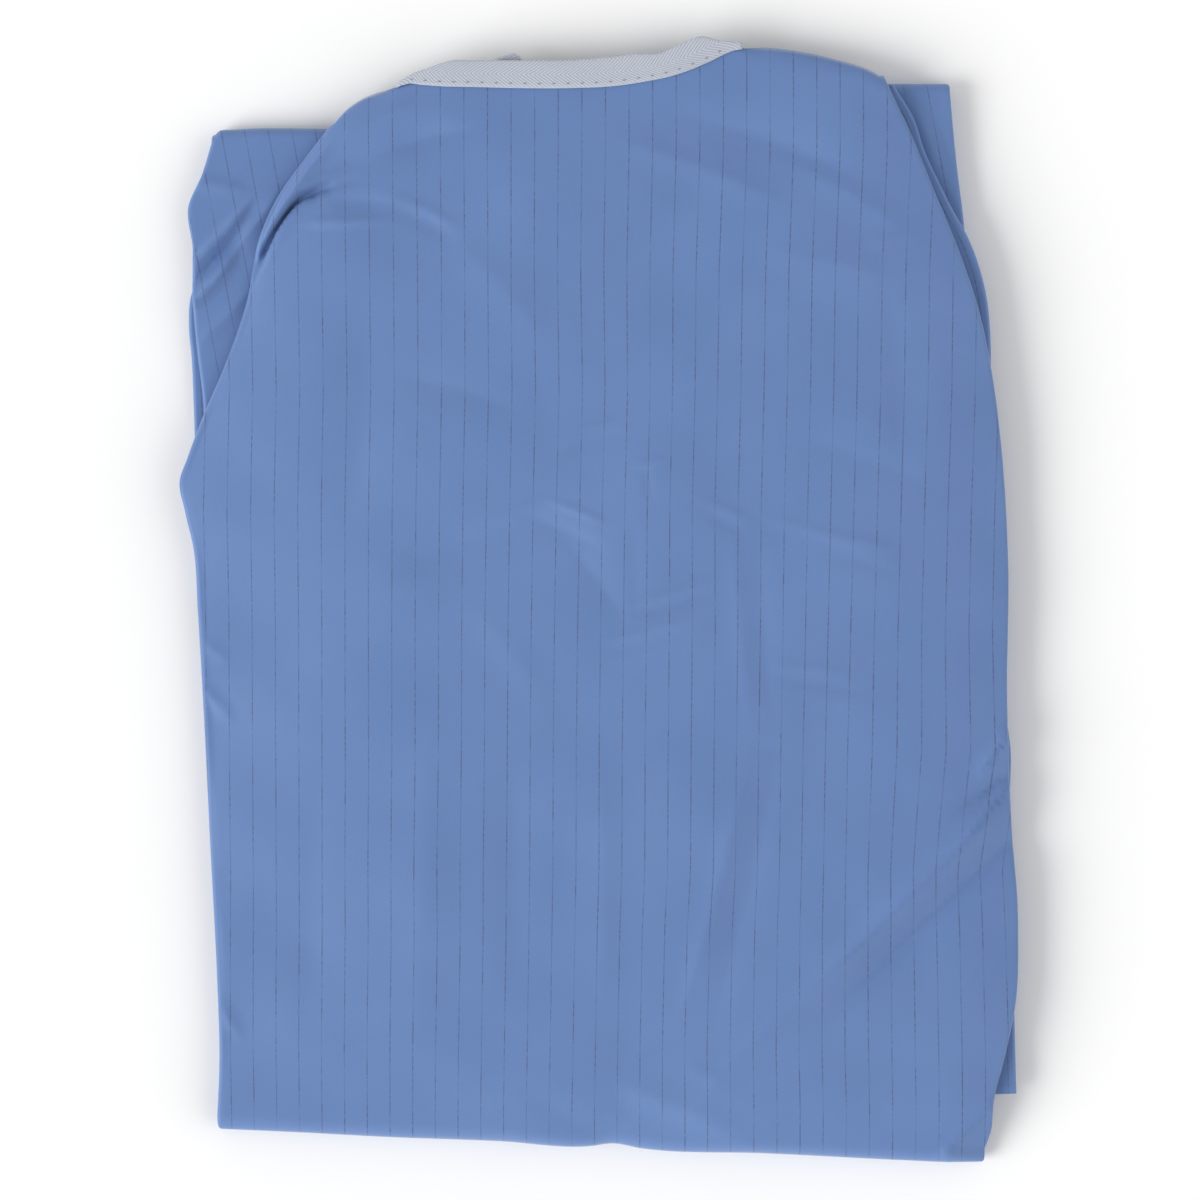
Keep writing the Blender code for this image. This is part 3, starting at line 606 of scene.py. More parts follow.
def stripe_count(points):
    """Pinstripes counted from the right side to places on the face: whole numbers lie on one."""
    x, y = points[..., 0], points[..., 1]
    marks = [read_table(PINSTRIPES, column, y) for column in Grain._fields[1:]]
    count = np.zeros_like(x)
    for k in range(len(marks) - 1):
        share = (x - marks[k]) / (marks[k + 1] - marks[k])
        here = STRIPE_COUNTS[k] + (STRIPE_COUNTS[k + 1] - STRIPE_COUNTS[k]) * share
        count = here if k == 0 else np.where(x > marks[k], here, count)
    return count


def turned_edge(points, pattern, normals, out, radius, steps=ROLL_STEPS):
    """Columns that roll under from an edge of a panel and run in beneath it, with their pattern."""
    centre = points - radius * normals
    columns, places = [], []
    for k in range(1, steps + 1):
        a = pi * k / steps
        columns.append(centre + radius * (cos(a) * normals + sin(a) * out))
        places.append(radius * a)
    columns.append(columns[-1] - MARGIN * out)
    places.append(places[-1] + MARGIN)
    return np.stack(columns, 1), np.hstack(places) / STRIPE_PITCH + pattern[:, None]


def rolled_sides(points, pattern, along, normals, rolls, radius):
    """A panel's rows with the sides named in rolls turned under, and its pattern carried on."""
    across = points[:, -1] - points[:, 0]
    across[:, 2] = 0.0
    across = unit(across)
    along = [along]
    if "low" in rolls:
        cloth, count = turned_edge(points[:, 0], -pattern[:, 0], normals, -across, radius)
        points, pattern = np.hstack([cloth[:, ::-1], points]), np.hstack([-count[:, ::-1], pattern])
        along.insert(0, np.repeat(along[0][:, :1], cloth.shape[1], 1))
    if "high" in rolls:
        cloth, count = turned_edge(points[:, -1], pattern[:, -1], normals, across, radius)
        points, pattern = np.hstack([points, cloth]), np.hstack([pattern, count])
        along.append(np.repeat(along[-1][:, -1:], cloth.shape[1], 1))
    return points, np.stack([pattern, np.hstack(along)], -1)


def wrapped_panel(panel):
    """Points and pattern of a panel that turns round a fold and runs back beneath the pack."""
    rows, v = len(panel.stations), panel.stations[:, None]
    shares = panel.shares(v)
    face = panel.top(shares, v)
    angles = np.linspace(0.0, pi, NOSE_STEPS + 1)[1:]
    nose = np.repeat(face[-1:], NOSE_STEPS, 0)
    nose[..., 1] += panel.toward * panel.nose * np.sin(angles)[:, None]
    nose[..., 2] *= (1 + np.cos(angles)[:, None]) / 2
    turned = np.stack([0 * angles, panel.toward * np.sin(angles), np.cos(angles)], 1)
    w = np.linspace(0.0, 1.0, panel.under_rows + 1)[1:, None]
    under = panel.under(face[-1:], shares[-1:], w)
    points = np.vstack([face, nose, under])
    narrowing = np.linspace(panel.radius, UNDER_ROLL, NOSE_STEPS)
    radius = np.pad(narrowing, (rows, panel.under_rows), "edge")
    normals = np.vstack([[UP] * rows, turned, [-UP] * panel.under_rows])
    hidden = len(nose) + len(under)
    count = np.vstack([panel.count(face), np.repeat(panel.count(face[-1:]), hidden, 0)])
    along = run_length(points) / STRIPE_PITCH
    if panel.leaning:
        past = (along - along[rows - 1]) * STRIPE_PITCH
        count = count + lean_shift(past) / STRIPE_PITCH * (past > 0)
    return rolled_sides(points, count, along, normals, panel.rolls, radius[:, None])


def lean_shift(past):
    """How far leaning pinstripes drift sideways past the top fold before they run straight."""
    reach = np.minimum(past, LEAN_LENGTH)
    return np.tan(radians(BACK_LEAN)) * (reach - reach**2 / (2 * LEAN_LENGTH))


def front_shares(v):
    """Columns of the front at stations: close together across the tuck, wider past it."""
    edge, far = front_surface(np.zeros_like(v), v), front_surface(np.ones_like(v), v)
    reach = np.linalg.norm((far - edge)[..., :2], axis=-1)
    near = EDGE_COLUMNS + TUCK_COLUMNS
    at = np.arange(near + 1)
    wide = np.interp(np.linspace(0.0, 1.0, FACE_COLUMNS - near + 1)[1:], *COLUMN_KNOTS)
    rows = []
    for low, a, b in zip(FRONT_ROLL / reach[:, 0], EDGE_SPAN / reach[:, 0], TUCK_SPAN / reach[:, 0]):
        tuck = np.interp(at, (0, EDGE_COLUMNS, near), (low, a, b))
        rows.append(np.concatenate([tuck, b + (1 - low - b) * wide]))
    return np.array(rows)


def even_shares(columns, low, high):
    """Columns of a back panel, even between its turned edges."""
    return lambda v: np.repeat(np.linspace(low, 1 - high, columns + 1)[None], len(v), 0)


def under_points(start, far_x, far_y, w):
    """Points on the flat underside, w of the way from under a fold to a hem."""
    x = start[..., 0] + (far_x - start[..., 0]) * np.minimum(1.0, UNDER_SETTLE * w)
    y = start[..., 1] + (far_y - start[..., 1]) * w
    return np.stack([x, y, crease_height(UNDER_CREASES, x, y)], -1)


def front_under(start, u, w):
    """The front beneath the pack, lapped over the hem of the backs from above."""
    left, right = FRONT_RIGHT_SIDE[-1].x, FRONT_LEFT_SIDE[-1].x
    far_x = left + UNDER_INSET + (right - left - 2 * UNDER_INSET) * u
    points = under_points(start, far_x, HEM_Y + LAP, w)
    points[..., 2] += LAP_RISE * ease((points[..., 1] - HEM_Y + 2 * LAP) / LAP)
    return points


def back_under(low_x, high_x, lift_from=None):
    """Maker of a back panel's underside between two sides, lifted under the other's edge."""

    def under(start, u, w):
        points = under_points(start, low_x + (high_x - low_x) * u, HEM_Y, w)
        if lift_from is not None:
            points[..., 2] += LAP_RISE * ease((points[..., 0] - lift_from) / LAP)
        return points

    return under


def lapped_top(start, fold, low, high, creases, lift_from=None):
    """Maker of a back panel's upper run, with its soft creases."""

    def top(u, v):
        points = patch(start, fold, low, high, u, v)
        points[..., 2] += crease_height(creases, points[..., 0], points[..., 1])
        if lift_from is not None:
            points[..., 2] -= LAP_RISE * ease((points[..., 0] - lift_from) / LAP)
        return points

    return top


def leaning_count(start_x):
    """Maker of the pinstripe count of a back panel whose grain leans, from a stripe's place."""

    def count(points):
        lean = radians(BACK_LEAN)
        return ((points[..., 0] - start_x) * cos(lean) + points[..., 1] * sin(lean)) / STRIPE_PITCH

    return count


def flat_mesh(name, points, pattern=None, closed=False):
    """A mesh over a grid of points, with its pattern as a UV map, closed round if asked."""
    rows, columns = points.shape[:2]
    index = np.arange(rows * columns).reshape(rows, columns)
    if closed:
        index = np.hstack([index, index[:, :1]])
    corners = (index[:-1, :-1], index[1:, :-1], index[1:, 1:], index[:-1, 1:])
    faces = np.stack(corners, -1).reshape(-1, 4)
    mesh = bpy.data.meshes.new(name)
    mesh.from_pydata((points.reshape(-1, 3) * MM).tolist(), [], faces.tolist())
    if pattern is not None:
        places = pattern.reshape(-1, 2)
        layer = mesh.uv_layers.new(name="Cloth")
        layer.data.foreach_set("uv", places[faces.ravel()].astype(np.float32).ravel())
    mesh.shade_smooth()
    return mesh


def piece_of(name, mesh, material):
    """A mesh as an object of the scene, alone selected and active."""
    piece = bpy.data.objects.new(name, mesh)
    bpy.context.scene.collection.objects.link(piece)
    mesh.materials.append(material)
    bpy.ops.object.select_all(action="DESELECT")
    piece.select_set(True)
    bpy.context.view_layer.objects.active = piece
    return piece


def face_outward():
    """Turn the faces of the active piece outward."""
    bpy.ops.object.mode_set(mode="EDIT")
    bpy.ops.mesh.select_all(action="SELECT")
    bpy.ops.mesh.normals_make_consistent(inside=False)
    bpy.ops.object.mode_set(mode="OBJECT")


def cloth_shell(name, points, pattern, material, thickness, flipped=False):
    """A thin closed shell of cloth with its outer face through a grid of points."""
    mesh = flat_mesh(name, points, pattern)
    if flipped:
        mesh.flip_normals()
    piece = piece_of(name, mesh, material)
    shell = piece.modifiers.new("cloth", "SOLIDIFY")
    shell.thickness = thickness
    shell.offset = -1.0
    shell.use_even_offset = False
    bpy.ops.object.modifier_apply(modifier=shell.name)
    return piece


def settle(piece, node):
    """Let a piece stand for its solid, which is hidden, and ride with the pack."""
    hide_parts(node)
    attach(piece, "root")
    return piece


def folded_strip(edge, roll, tuck, side, evenness=0.0):
    """Points and pattern of a piece folded flat on itself, seen as a narrow strip.

    Evenness turns its cross sections towards their mean direction, so that they don't cross on a
    tight bend.
    """
    shares = np.linspace(0.0, 1.0, STRIP_ROWS)
    line = smooth_curve(edge, shares)
    run = np.gradient(line[:, :2], axis=0)
    out = unit(np.stack([-side * run[:, 1], side * run[:, 0], np.zeros(len(line))], 1))
    out = unit(out + evenness * (out.mean(0) - out))
    centre = line + roll * UP - roll * out
    angles = np.linspace(0.0, pi, 2 * ROLL_STEPS + 1)
    arc = [centre + roll * (cos(a) * UP + sin(a) * out) for a in angles]
    steps = tuck * np.arange(1, STRIP_COLUMNS + 1) / STRIP_COLUMNS
    inner = [arc[0] - step * out for step in steps[::-1]]
    outer = [arc[-1] - step * out for step in steps]
    points = np.stack(inner + arc + outer, 1)
    return points, np.stack([run_length(points, 1), run_length(points)], -1) / STRIPE_PITCH


def tape_rows():
    """Points and pattern of the neck tape: on the front, round its fold and back beneath."""
    band = smooth_curve(NECK_BAND, np.linspace(0.0, 1.0, TAPE_ROWS))
    seam_xy, fold_xy = band[:, :2], band[:, 2:]
    seam = np.column_stack([seam_xy, front_height(*seam_xy.T) + TAPE_LIFT])
    fold = np.column_stack([fold_xy, front_height(*fold_xy.T) + TAPE_LIFT])
    reach = np.linalg.norm((fold - seam)[:, :2], axis=1)[:, None]
    out = (fold - seam) / reach
    out[:, 2] = 0.0
    turn = np.minimum(TAPE_ROLL, TAPE_TURN * reach)
    columns = [seam + (fold - turn * out - seam) * k / TAPE_COLUMNS for k in range(TAPE_COLUMNS)]
    for k in range(ROLL_STEPS + 1):
        a = pi * k / ROLL_STEPS
        columns.append(fold - turn * (1 - sin(a)) * out - TAPE_ROLL * (1 - cos(a)) * UP)
    columns.append(columns[-1] - TAPE_BACK * (reach - turn) * out)
    points = np.stack(columns, 1)
    down = run_length(points[:, :1]).repeat(points.shape[1], 1)
    return points, np.stack([down, run_length(points, 1)], -1) / STRIPE_PITCH


def plan_ring(plan, inset):
    """Points evenly round a plan of the hidden layers, with soft corners, drawn in by an inset."""
    left = [(row.left, row.y) for row in plan]
    right = [(row.right, row.y) for row in plan]
    corners = np.array(left + right[::-1] + left[:1], float)
    run = run_length(corners)
    ring = read_along(corners, run, np.linspace(0.0, run[-1], RING_POINTS, endpoint=False))
    for _ in range(RING_SOFTENING):
        ring = (np.roll(ring, 1, 0) + 2 * ring + np.roll(ring, -1, 0)) / 4
    run = np.roll(ring, -1, 0) - np.roll(ring, 1, 0)
    inward = np.stack([-run[:, 1], run[:, 0]], 1) / np.linalg.norm(run, axis=1)[:, None]
    return ring + inward * np.reshape(inset, (-1, 1))


def layered_edge(layers):
    """Rings up a stack of folded edges, each lobe rounded and drawn in unevenly."""
    rings = []
    turn = np.linspace(0.0, 2 * pi, RING_POINTS, endpoint=False)
    for lobe in range(layers.lobes):
        drift = np.zeros(RING_POINTS)
        for waves, size in LOBE_WAVES:
            drift += size * np.sin(waves * (turn + lobe) + layers.seed)
        for k in range(LOBE_STEPS):
            a = pi * k / (LOBE_STEPS - 1)
            share = (lobe + (1 - cos(a)) / 2 * LOBE_SPACING) / layers.lobes
            z = layers.low + (layers.high - layers.low) * share
            ring = plan_ring(layers.plan, layers.inset + drift + LOBE_DEPTH * (1 - sin(a)))
            rings.append(np.column_stack([ring, np.full(RING_POINTS, z)]))
    return rings


def cap_rings(ring, steps):
    """Rings that close a stack over its middle, drawn in towards it as they rise or fall."""
    middle = ring.mean(0)
    rings = []
    for height, share in steps:
        step = ring + (middle - ring) * share
        step[:, 2] = height
        rings.append(step)
    return rings


def add_node(tree, kind, links=None, output=0, **settings):
    """Add a shader node with its settings, feed its inputs, and give one of its outputs."""
    node = tree.nodes.new("ShaderNode" + kind)
    for name, value in settings.items():
        setattr(node, name, value)
    for socket, source in (links or {}).items():
        if isinstance(source, bpy.types.NodeSocket):
            tree.links.new(source, node.inputs[socket])
        else:
            node.inputs[socket].default_value = source
    return node.outputs[output]


def linear(colour):
    """A colour kept as sRGB, as the linear values that shaders take."""
    return tuple(v / 12.92 if v <= 0.04045 else ((v + 0.055) / 1.055) ** 2.4 for v in colour) + (1,)


def new_material(name):
    """A new node material, its tree and its Principled shader."""
    material = bpy.data.materials.new(name)
    material.use_nodes = True
    return material, material.node_tree, material.node_tree.nodes["Principled BSDF"]


def barrier_cloth(sizes, colours):
    """Tightly woven polyester filament cloth with dark carbon yarns as pinstripes.

    Fine even yarns give a smooth face with a low soft sheen, palest where it turns away. The
    carbon yarns, of a dark core in a pale sheath, show as thin broken lines that fade in and out.
    """
    material, tree, shader = new_material("woven polyester with carbon pinstripes")
    place = add_node(tree, "UVMap", uv_map="Cloth")
    across, along = (add_node(tree, "SeparateXYZ", {0: place}, axis) for axis in "XY")
    half = sizes.stripe_width / MM / STRIPE_PITCH / 2
    aside = add_node(tree, "Math", {0: across, 1: 0.5}, operation="PINGPONG")
    line = add_node(
        tree, "MapRange", {0: aside, 1: half * 0.5, 2: half * 1.5, 3: 1.0, 4: 0.0},
        interpolation_type="SMOOTHSTEP",
    )

    # Each carbon yarn fades over some 20 mm and breaks up over some 2 mm, differently from the next.
    yarn = add_node(tree, "Math", {0: across}, operation="ROUND")
    yarn_start = add_node(tree, "Math", {0: yarn, 1: 7.3}, operation="MULTIPLY")
    strand = add_node(tree, "CombineXYZ", {0: yarn_start, 1: along})
    shown = add_node(tree, "Math", {0: line, 1: STRIPE_SHOW}, operation="MULTIPLY")
    for scale, detail, dark in ((0.55, 3.0, 0.62), (6.0, 2.0, 0.58)):
        noise = add_node(tree, "TexNoise", {"Vector": strand, "Scale": scale, "Detail": detail})
        faded = add_node(
            tree, "MapRange", {0: noise, 1: 0.36, 2: dark, 3: 0.35, 4: 1.0},
            interpolation_type="SMOOTHSTEP",
        )
        shown = add_node(tree, "Math", {0: shown, 1: faded}, operation="MULTIPLY")

    # Yarns lie 0.15 mm apart, too fine to show, so they are drawn further apart and very low.
    pitch = 2 * pi * STRIPE_PITCH / WEAVE_PITCH
    ways = (across, along)
    turns = [add_node(tree, "Math", {0: way, 1: pitch}, operation="MULTIPLY") for way in ways]
    warp, weft = (add_node(tree, "Math", {0: turn}, operation="SINE") for turn in turns)
    weave = add_node(tree, "Math", {0: warp, 1: weft}, operation="MULTIPLY")

    # Slubs run a few millimetres along the yarns, and paler clouds some 40 mm across.
    drawn_out = add_node(tree, "Mapping", {0: place, 3: (9.0, 1.2, 1.0)})
    slub = add_node(tree, "TexNoise", {"Vector": drawn_out, "Scale": 1.6, "Detail": 3.0})
    cloud = add_node(tree, "TexNoise", {"Vector": place, "Scale": 0.22, "Detail": 3.0})
    pale = add_node(tree, "MapRange", {0: cloud, 1: 0.35, 2: 0.65, 3: 0.0, 4: 0.4})
    colour = linear(colours.cloth_shade)
    for share, over in ((slub, colours.cloth), (pale, colours.cloth_light), (shown, colours.stripe)):
        colour = add_node(tree, "Mix", {0: share, 6: colour, 7: linear(over)}, 2, data_type="RGBA")
    tree.links.new(colour, shader.inputs["Base Color"])
    weave_height = add_node(tree, "Math", {0: weave, 1: 0.5, 2: slub}, operation="MULTIPLY_ADD")
    height = add_node(tree, "Math", {0: line, 1: -0.6, 2: weave_height}, operation="MULTIPLY_ADD")
    bump = add_node(tree, "Bump", {"Strength": 0.06, "Distance": 0.4 * MM, "Height": height})
    tree.links.new(bump, shader.inputs["Normal"])
    shader.inputs["Roughness"].default_value = 0.55
    shader.inputs["Specular IOR Level"].default_value = 0.35
    shader.inputs["Sheen Weight"].default_value = 0.32
    shader.inputs["Sheen Roughness"].default_value = 0.4
    return material


def herringbone_tape(colours):
    """Cotton and polyester herringbone tape: dull pale twill whose lines turn back at mid width.

    Short ribs lean one way over half of the width and the other way over the rest, with a smooth
    woven edge along each side. The grooves between the ribs carry painted shade.
    """
    material, tree, shader = new_material("herringbone twill tape")
    place = add_node(tree, "UVMap", uv_map="Cloth")
    along, across = (add_node(tree, "SeparateXYZ", {0: place}, axis) for axis in "XY")
    turned = add_node(tree, "Math", {0: across, 1: TAPE_CHEVRON / STRIPE_PITCH}, operation="PINGPONG")
    slant = add_node(tree, "Math", {0: along, 1: 0.7, 2: turned}, operation="MULTIPLY_ADD")

    # Twill lines lie 0.8 mm apart, too fine to show clearly, so they are drawn further apart, with
    # painted shade in the grooves between the ribs.
    pitch = 2 * pi * STRIPE_PITCH / TWILL_PITCH
    rib_place = add_node(tree, "Math", {0: slant, 1: pitch}, operation="MULTIPLY")
    rib = add_node(tree, "Math", {0: rib_place}, operation="SINE")
    grain = add_node(tree, "TexNoise", {"Vector": place, "Scale": 9.0, "Detail": 3.0})
    rough = add_node(tree, "Math", {0: grain, 1: 0.9, 2: rib}, operation="MULTIPLY_ADD")
    ribs = add_node(
        tree, "MapRange", {0: rough, 1: -0.5, 2: 1.2, 3: 0.0, 4: 1.0}, interpolation_type="SMOOTHSTEP"
    )
    edge = add_node(tree, "MapRange", {0: across, 1: 0.03, 2: 0.09, 3: 1.0, 4: 0.0})
    # Painted shade: the grooves between the ribs take the darker tape colour.
    colour = linear(colours.tape_groove_shade)
    for share, over in ((ribs, colours.tape), (edge, colours.tape_edge)):
        colour = add_node(tree, "Mix", {0: share, 6: colour, 7: linear(over)}, 2, data_type="RGBA")
    tree.links.new(colour, shader.inputs["Base Color"])
    bump = add_node(tree, "Bump", {"Strength": 0.4, "Distance": 0.4 * MM, "Height": ribs})
    tree.links.new(bump, shader.inputs["Normal"])
    shader.inputs["Roughness"].default_value = 0.82
    shader.inputs["Specular IOR Level"].default_value = 0.2
    shader.inputs["Sheen Weight"].default_value = 0.15
    return material


def sewing_thread(name, colour):
    """Spun polyester sewing thread: matt, and mottled every 0.5 mm or so with painted shade of its
    twist, a darker copy of its colour.
    """
    material, tree, shader = new_material(name)
    place = add_node(tree, "TexCoord", None, "Object")
    twist = add_node(tree, "TexNoise", {"Vector": place, "Scale": 2600.0})
    # Painted shade of the twist: a darker copy of the thread colour, scattered by noise.
    twist_shade = tuple(THREAD_TWIST_SHADE * value for value in colour)
    shade = add_node(tree, "Mix", {0: twist, 6: linear(twist_shade), 7: linear(colour)}, 2, data_type="RGBA")
    tree.links.new(shade, shader.inputs["Base Color"])
    shader.inputs["Roughness"].default_value = 0.7
    return material


def stitch_row(name, points, normals, length, thickness, material):
    """Stitches along a line: one rounded stitch is modelled, then copied with its own points."""
    bpy.ops.mesh.primitive_cylinder_add(vertices=STITCH_SIDES, radius=thickness / 2, depth=length)
    sample = bpy.context.object
    bpy.ops.object.mode_set(mode="EDIT")
    bpy.ops.mesh.select_all(action="SELECT")
    bpy.ops.mesh.bevel(offset=thickness * STITCH_BEVEL, segments=1, affect="EDGES")
    bpy.ops.object.mode_set(mode="OBJECT")
    shape = bpy.data.meshes.new_from_object(sample)
    bpy.data.objects.remove(sample)
    local = np.array([v.co for v in shape.vertices])
    faces = [list(p.vertices) for p in shape.polygons]
    bpy.data.meshes.remove(shape)
    verts, polygons = [], []
    for place, along, normal in zip(points, unit(np.gradient(points, axis=0)), normals):
        side = np.cross(normal, along)
        base = len(verts)
        bow = (1 - (2 * local[:, 2:] / length) ** 2) * thickness * STITCH_BOW
        upward = local[:, 1:2] * STITCH_FLATNESS + bow
        verts += list(place * MM + local[:, :1] * side + upward * normal + local[:, 2:] * along)
        polygons += [[base + v for v in face] for face in faces]
    mesh = bpy.data.meshes.new(name)
    mesh.from_pydata([tuple(v) for v in verts], [], polygons)
    mesh.shade_smooth()
    piece = piece_of(name, mesh, material)
    face_outward()
    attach(piece, "root")
    return piece


def length_property(label, words, millimetres):
    """A length that a user may change, given in millimetres."""
    return bpy.props.FloatProperty(
        name=label, description=words, default=millimetres * MM, unit="LENGTH"
    )


class GownSizes(bpy.types.PropertyGroup):
    """Sizes of the cloth and its trims."""

    cloth_thickness: length_property("Cloth thickness", "Thickness of a layer of cloth", 0.35)
    tape_thickness: length_property("Tape thickness", "Thickness of the neck tape", 0.5)
    crown_rise: length_property(
        "Crown rise", "How far the middle of the face stands over its edges", 8.5
    )
    stripe_width: length_property("Pinstripe width", "Width of a dark yarn in the cloth", 0.5)
    stitch_length: length_property("Stitch length", "Length of thread that shows in a stitch", 2.2)
    tape_stitch: length_property(
        "Tape stitch", "Length of thread that shows in a stitch of the tape", 1.0
    )
    thread_thickness: length_property("Thread thickness", "Thickness of the sewing thread", 0.4)


def colour_property(label, words, hex_colour):
    """A colour that a user may change, kept as sRGB."""
    values = [int(hex_colour[i : i + 2], 16) / 255 for i in (1, 3, 5)]
    return bpy.props.FloatVectorProperty(
        name=label, description=words, default=values, size=3, min=0.0, max=1.0, subtype="COLOR_GAMMA"
    )


class GownColours(bpy.types.PropertyGroup):
    """Colours of the cloth, the tape, the threads and the floor."""

    cloth: colour_property("Cloth", "Blue of the woven cloth", "#5f7cae")
    cloth_shade: colour_property("Cloth between yarns", "Deeper blue between yarns", "#5b78aa")
    cloth_light: colour_property("Cloth, pale", "Paler blue of looser places", "#6581b3")
    stripe: colour_property("Pinstripe", "Dark carbon yarn", "#3a3650")
    tape: colour_property("Tape", "Pale grey of the neck tape", "#bcc1cb")
    # Painted shade in the grooves between the tape's twill ribs.
    tape_groove_shade: colour_property("Tape between ribs", "Deeper grey between its ribs", "#a4aab7")
    tape_edge: colour_property("Tape edge", "Pale woven edge of the tape", "#b4bac5")
    thread: colour_property("Thread", "Sewing thread of the cloth", "#8ba0cf")
    tape_thread: colour_property("Tape thread", "Sewing thread of the tape", "#a2a8b5")
    floor: colour_property("Floor", "Matt paper that the pack lies on", "#f4f4f4")


def gown_cloth():
    """The material of all the gown's cloth, made when it is first asked for."""
    made = bpy.data.materials.get("woven polyester with carbon pinstripes")
    scene = bpy.context.scene
    return made or barrier_cloth(scene.gown_sizes, scene.gown_colours)


def gown_piece(name, node, points, pattern, flipped=False):
    """A piece of the gown's cloth that stands for one of its solids."""
    thickness = bpy.context.scene.gown_sizes.cloth_thickness
    piece = cloth_shell(name, points, pattern, gown_cloth(), thickness, flipped)
    return settle(piece, node)


class GOWN_OT_front(bpy.types.Operator):
    """Model the front, from the neckline over the face and round the lower fold"""

    bl_idname = "gown.front"
    bl_label = "Front"

    def execute(self, context):
        stations = np.interp(np.linspace(0.0, 1.0, FACE_ROWS), *ROW_KNOTS)
        panel = Panel(
            front_top, front_under, -1, FRONT_NOSE, stations, UNDER_ROWS, front_shares, stripe_count,
            False, ("low", "high"), FRONT_ROLL,
        )
        piece = gown_piece("front_cloth", "front_panel", *wrapped_panel(panel))
        return {"FINISHED"}


class GOWN_OT_backs(bpy.types.Operator):
    """Model both back panels, up behind the front, round their top folds and down to the hem"""

    bl_idname = "gown.backs"
    bl_label = "Back panels"

    def execute(self, context):
        stations = np.linspace(0.0, 1.0, BACK_ROWS)
        right_top = lapped_top(
            RIGHT_BACK_START, RIGHT_BACK_FOLD, RIGHT_BACK_SIDE, RIGHT_BACK_CENTRE, RIGHT_BACK_CREASES,
            RIGHT_CENTRE_X - 2 * LAP,
        )
        right = Panel(
            right_top, back_under(RIGHT_SIDE_X, RIGHT_CENTRE_X + LAP, RIGHT_CENTRE_X - 2 * LAP), 1,
            BACK_NOSE, stations, BACK_UNDER_ROWS, even_shares(BACK_COLUMNS, BACK_EDGE_SHARE, 0.0),
            leaning_count(RIGHT_BACK_YARN), True, ("low",), BACK_ROLL,
        )
        left_top = lapped_top(
            LEFT_BACK_START, LEFT_BACK_FOLD, LEFT_BACK_CENTRE, LEFT_BACK_SIDE, LEFT_BACK_CREASES
        )
        left = Panel(
            left_top, back_under(LEFT_CENTRE_X - LAP, LEFT_SIDE_X), 1, BACK_NOSE, stations,
            BACK_UNDER_ROWS, even_shares(BACK_COLUMNS, 0.0, BACK_EDGE_SHARE),
            leaning_count(LEFT_BACK_YARN), True, ("high",), BACK_ROLL,
        )
        for name, panel, node, width in (
            ("right_back_cloth", right, "right_back_panel", 0.19),
            ("left_back_cloth", left, "left_back_panel", 0.185),
        ):
            piece = gown_piece(name, node, *wrapped_panel(panel), True)
        return {"FINISHED"}


class GOWN_OT_sleeves(bpy.types.Operator):
    """Model the folded edges of both sleeves"""

    bl_idname = "gown.sleeves"
    bl_label = "Sleeves"

    def execute(self, context):
        for node, edge, roll, side, length in (
            ("left_sleeve", LEFT_SLEEVE_EDGE, LEFT_SLEEVE_ROLL, 1, 0.45),
            ("right_sleeve", RIGHT_SLEEVE_EDGE, RIGHT_SLEEVE_ROLL, -1, 0.145),
        ):
            strip = folded_strip(edge, roll, SLEEVE_TUCK, side)
            piece = gown_piece(node + "_cloth", node, *strip, side < 0)
        return {"FINISHED"}


class GOWN_OT_hidden_folds(bpy.types.Operator):
    """Model the layers hidden in the fold, which show as folded edges at the sides"""

    bl_idname = "gown.hidden_folds"
    bl_label = "Hidden folds"

    def execute(self, context):
        rings = [ring for layers in STACK for ring in layered_edge(layers)]
        rings = cap_rings(rings[0], STACK_BOTTOM) + rings
        rings += cap_rings(rings[-1], STACK_TOP)
        points = np.stack(rings)
        steps = np.linalg.norm(np.diff(rings[-len(STACK_TOP) - 1], axis=0, append=0.0), axis=1)
        across = np.tile(np.cumsum(steps) / STRIPE_PITCH, (len(points), 1))
        pattern = np.stack([across, run_length(points) / STRIPE_PITCH], -1)
        mesh = flat_mesh("hidden_folds", points, pattern, closed=True)
        piece = piece_of("hidden_folds", mesh, gown_cloth())
        bpy.ops.object.mode_set(mode="EDIT")
        bpy.ops.mesh.select_all(action="DESELECT")
        bpy.ops.mesh.select_non_manifold(extend=False)
        bpy.ops.mesh.fill_holes(sides=0)
        face_outward()
        settle(piece, "folded_layers")
        return {"FINISHED"}


class GOWN_OT_neck_tape(bpy.types.Operator):
    """Model the herringbone tape round the neckline, with its stitches"""

    bl_idname = "gown.neck_tape"
    bl_label = "Neck tape"

    def execute(self, context):
        sizes, colours = context.scene.gown_sizes, context.scene.gown_colours
        tape = herringbone_tape(colours)
        front = cloth_shell("neck_tape", *tape_rows(), tape, sizes.tape_thickness)
        settle(front, "neck_binding")
        thread = sewing_thread("spun polyester tape thread", colours.tape_thread)
        length, thickness = sizes.tape_stitch, sizes.thread_thickness
        stitches = stitch_row("neck_stitches", *tape_stitch_line(), length, thickness, thread)
        points, pattern = folded_strip(
            BACK_BAND_EDGE, BACK_BAND_ROLL, BACK_BAND_TUCK, 1, BACK_BAND_EVENNESS
        )
        back = cloth_shell("back_neck_tape", points, pattern[..., ::-1], tape, sizes.tape_thickness)
        settle(back, "back_neck_binding")
        return {"FINISHED"}


def tape_stitch_line():
    """Places and normals of the stitches along the tape, a seat in from its sewn edge."""
    band = smooth_curve(NECK_BAND, np.linspace(0.0, 1.0, TAPE_SAMPLES))
    run = run_length(band[:, :2])
    at = np.arange(TAPE_STITCH_PITCH, run[-1] - TAPE_STITCH_PITCH, TAPE_STITCH_PITCH)
    seam, fold = read_along(band[:, :2], run, at), read_along(band[:, 2:], run, at)
    place = seam + TAPE_STITCH_INSET * unit(fold - seam)
    height = front_height(*seam.T) + TAPE_LIFT + STITCH_SEAT
    return np.column_stack([place, height]), [UP] * len(place)


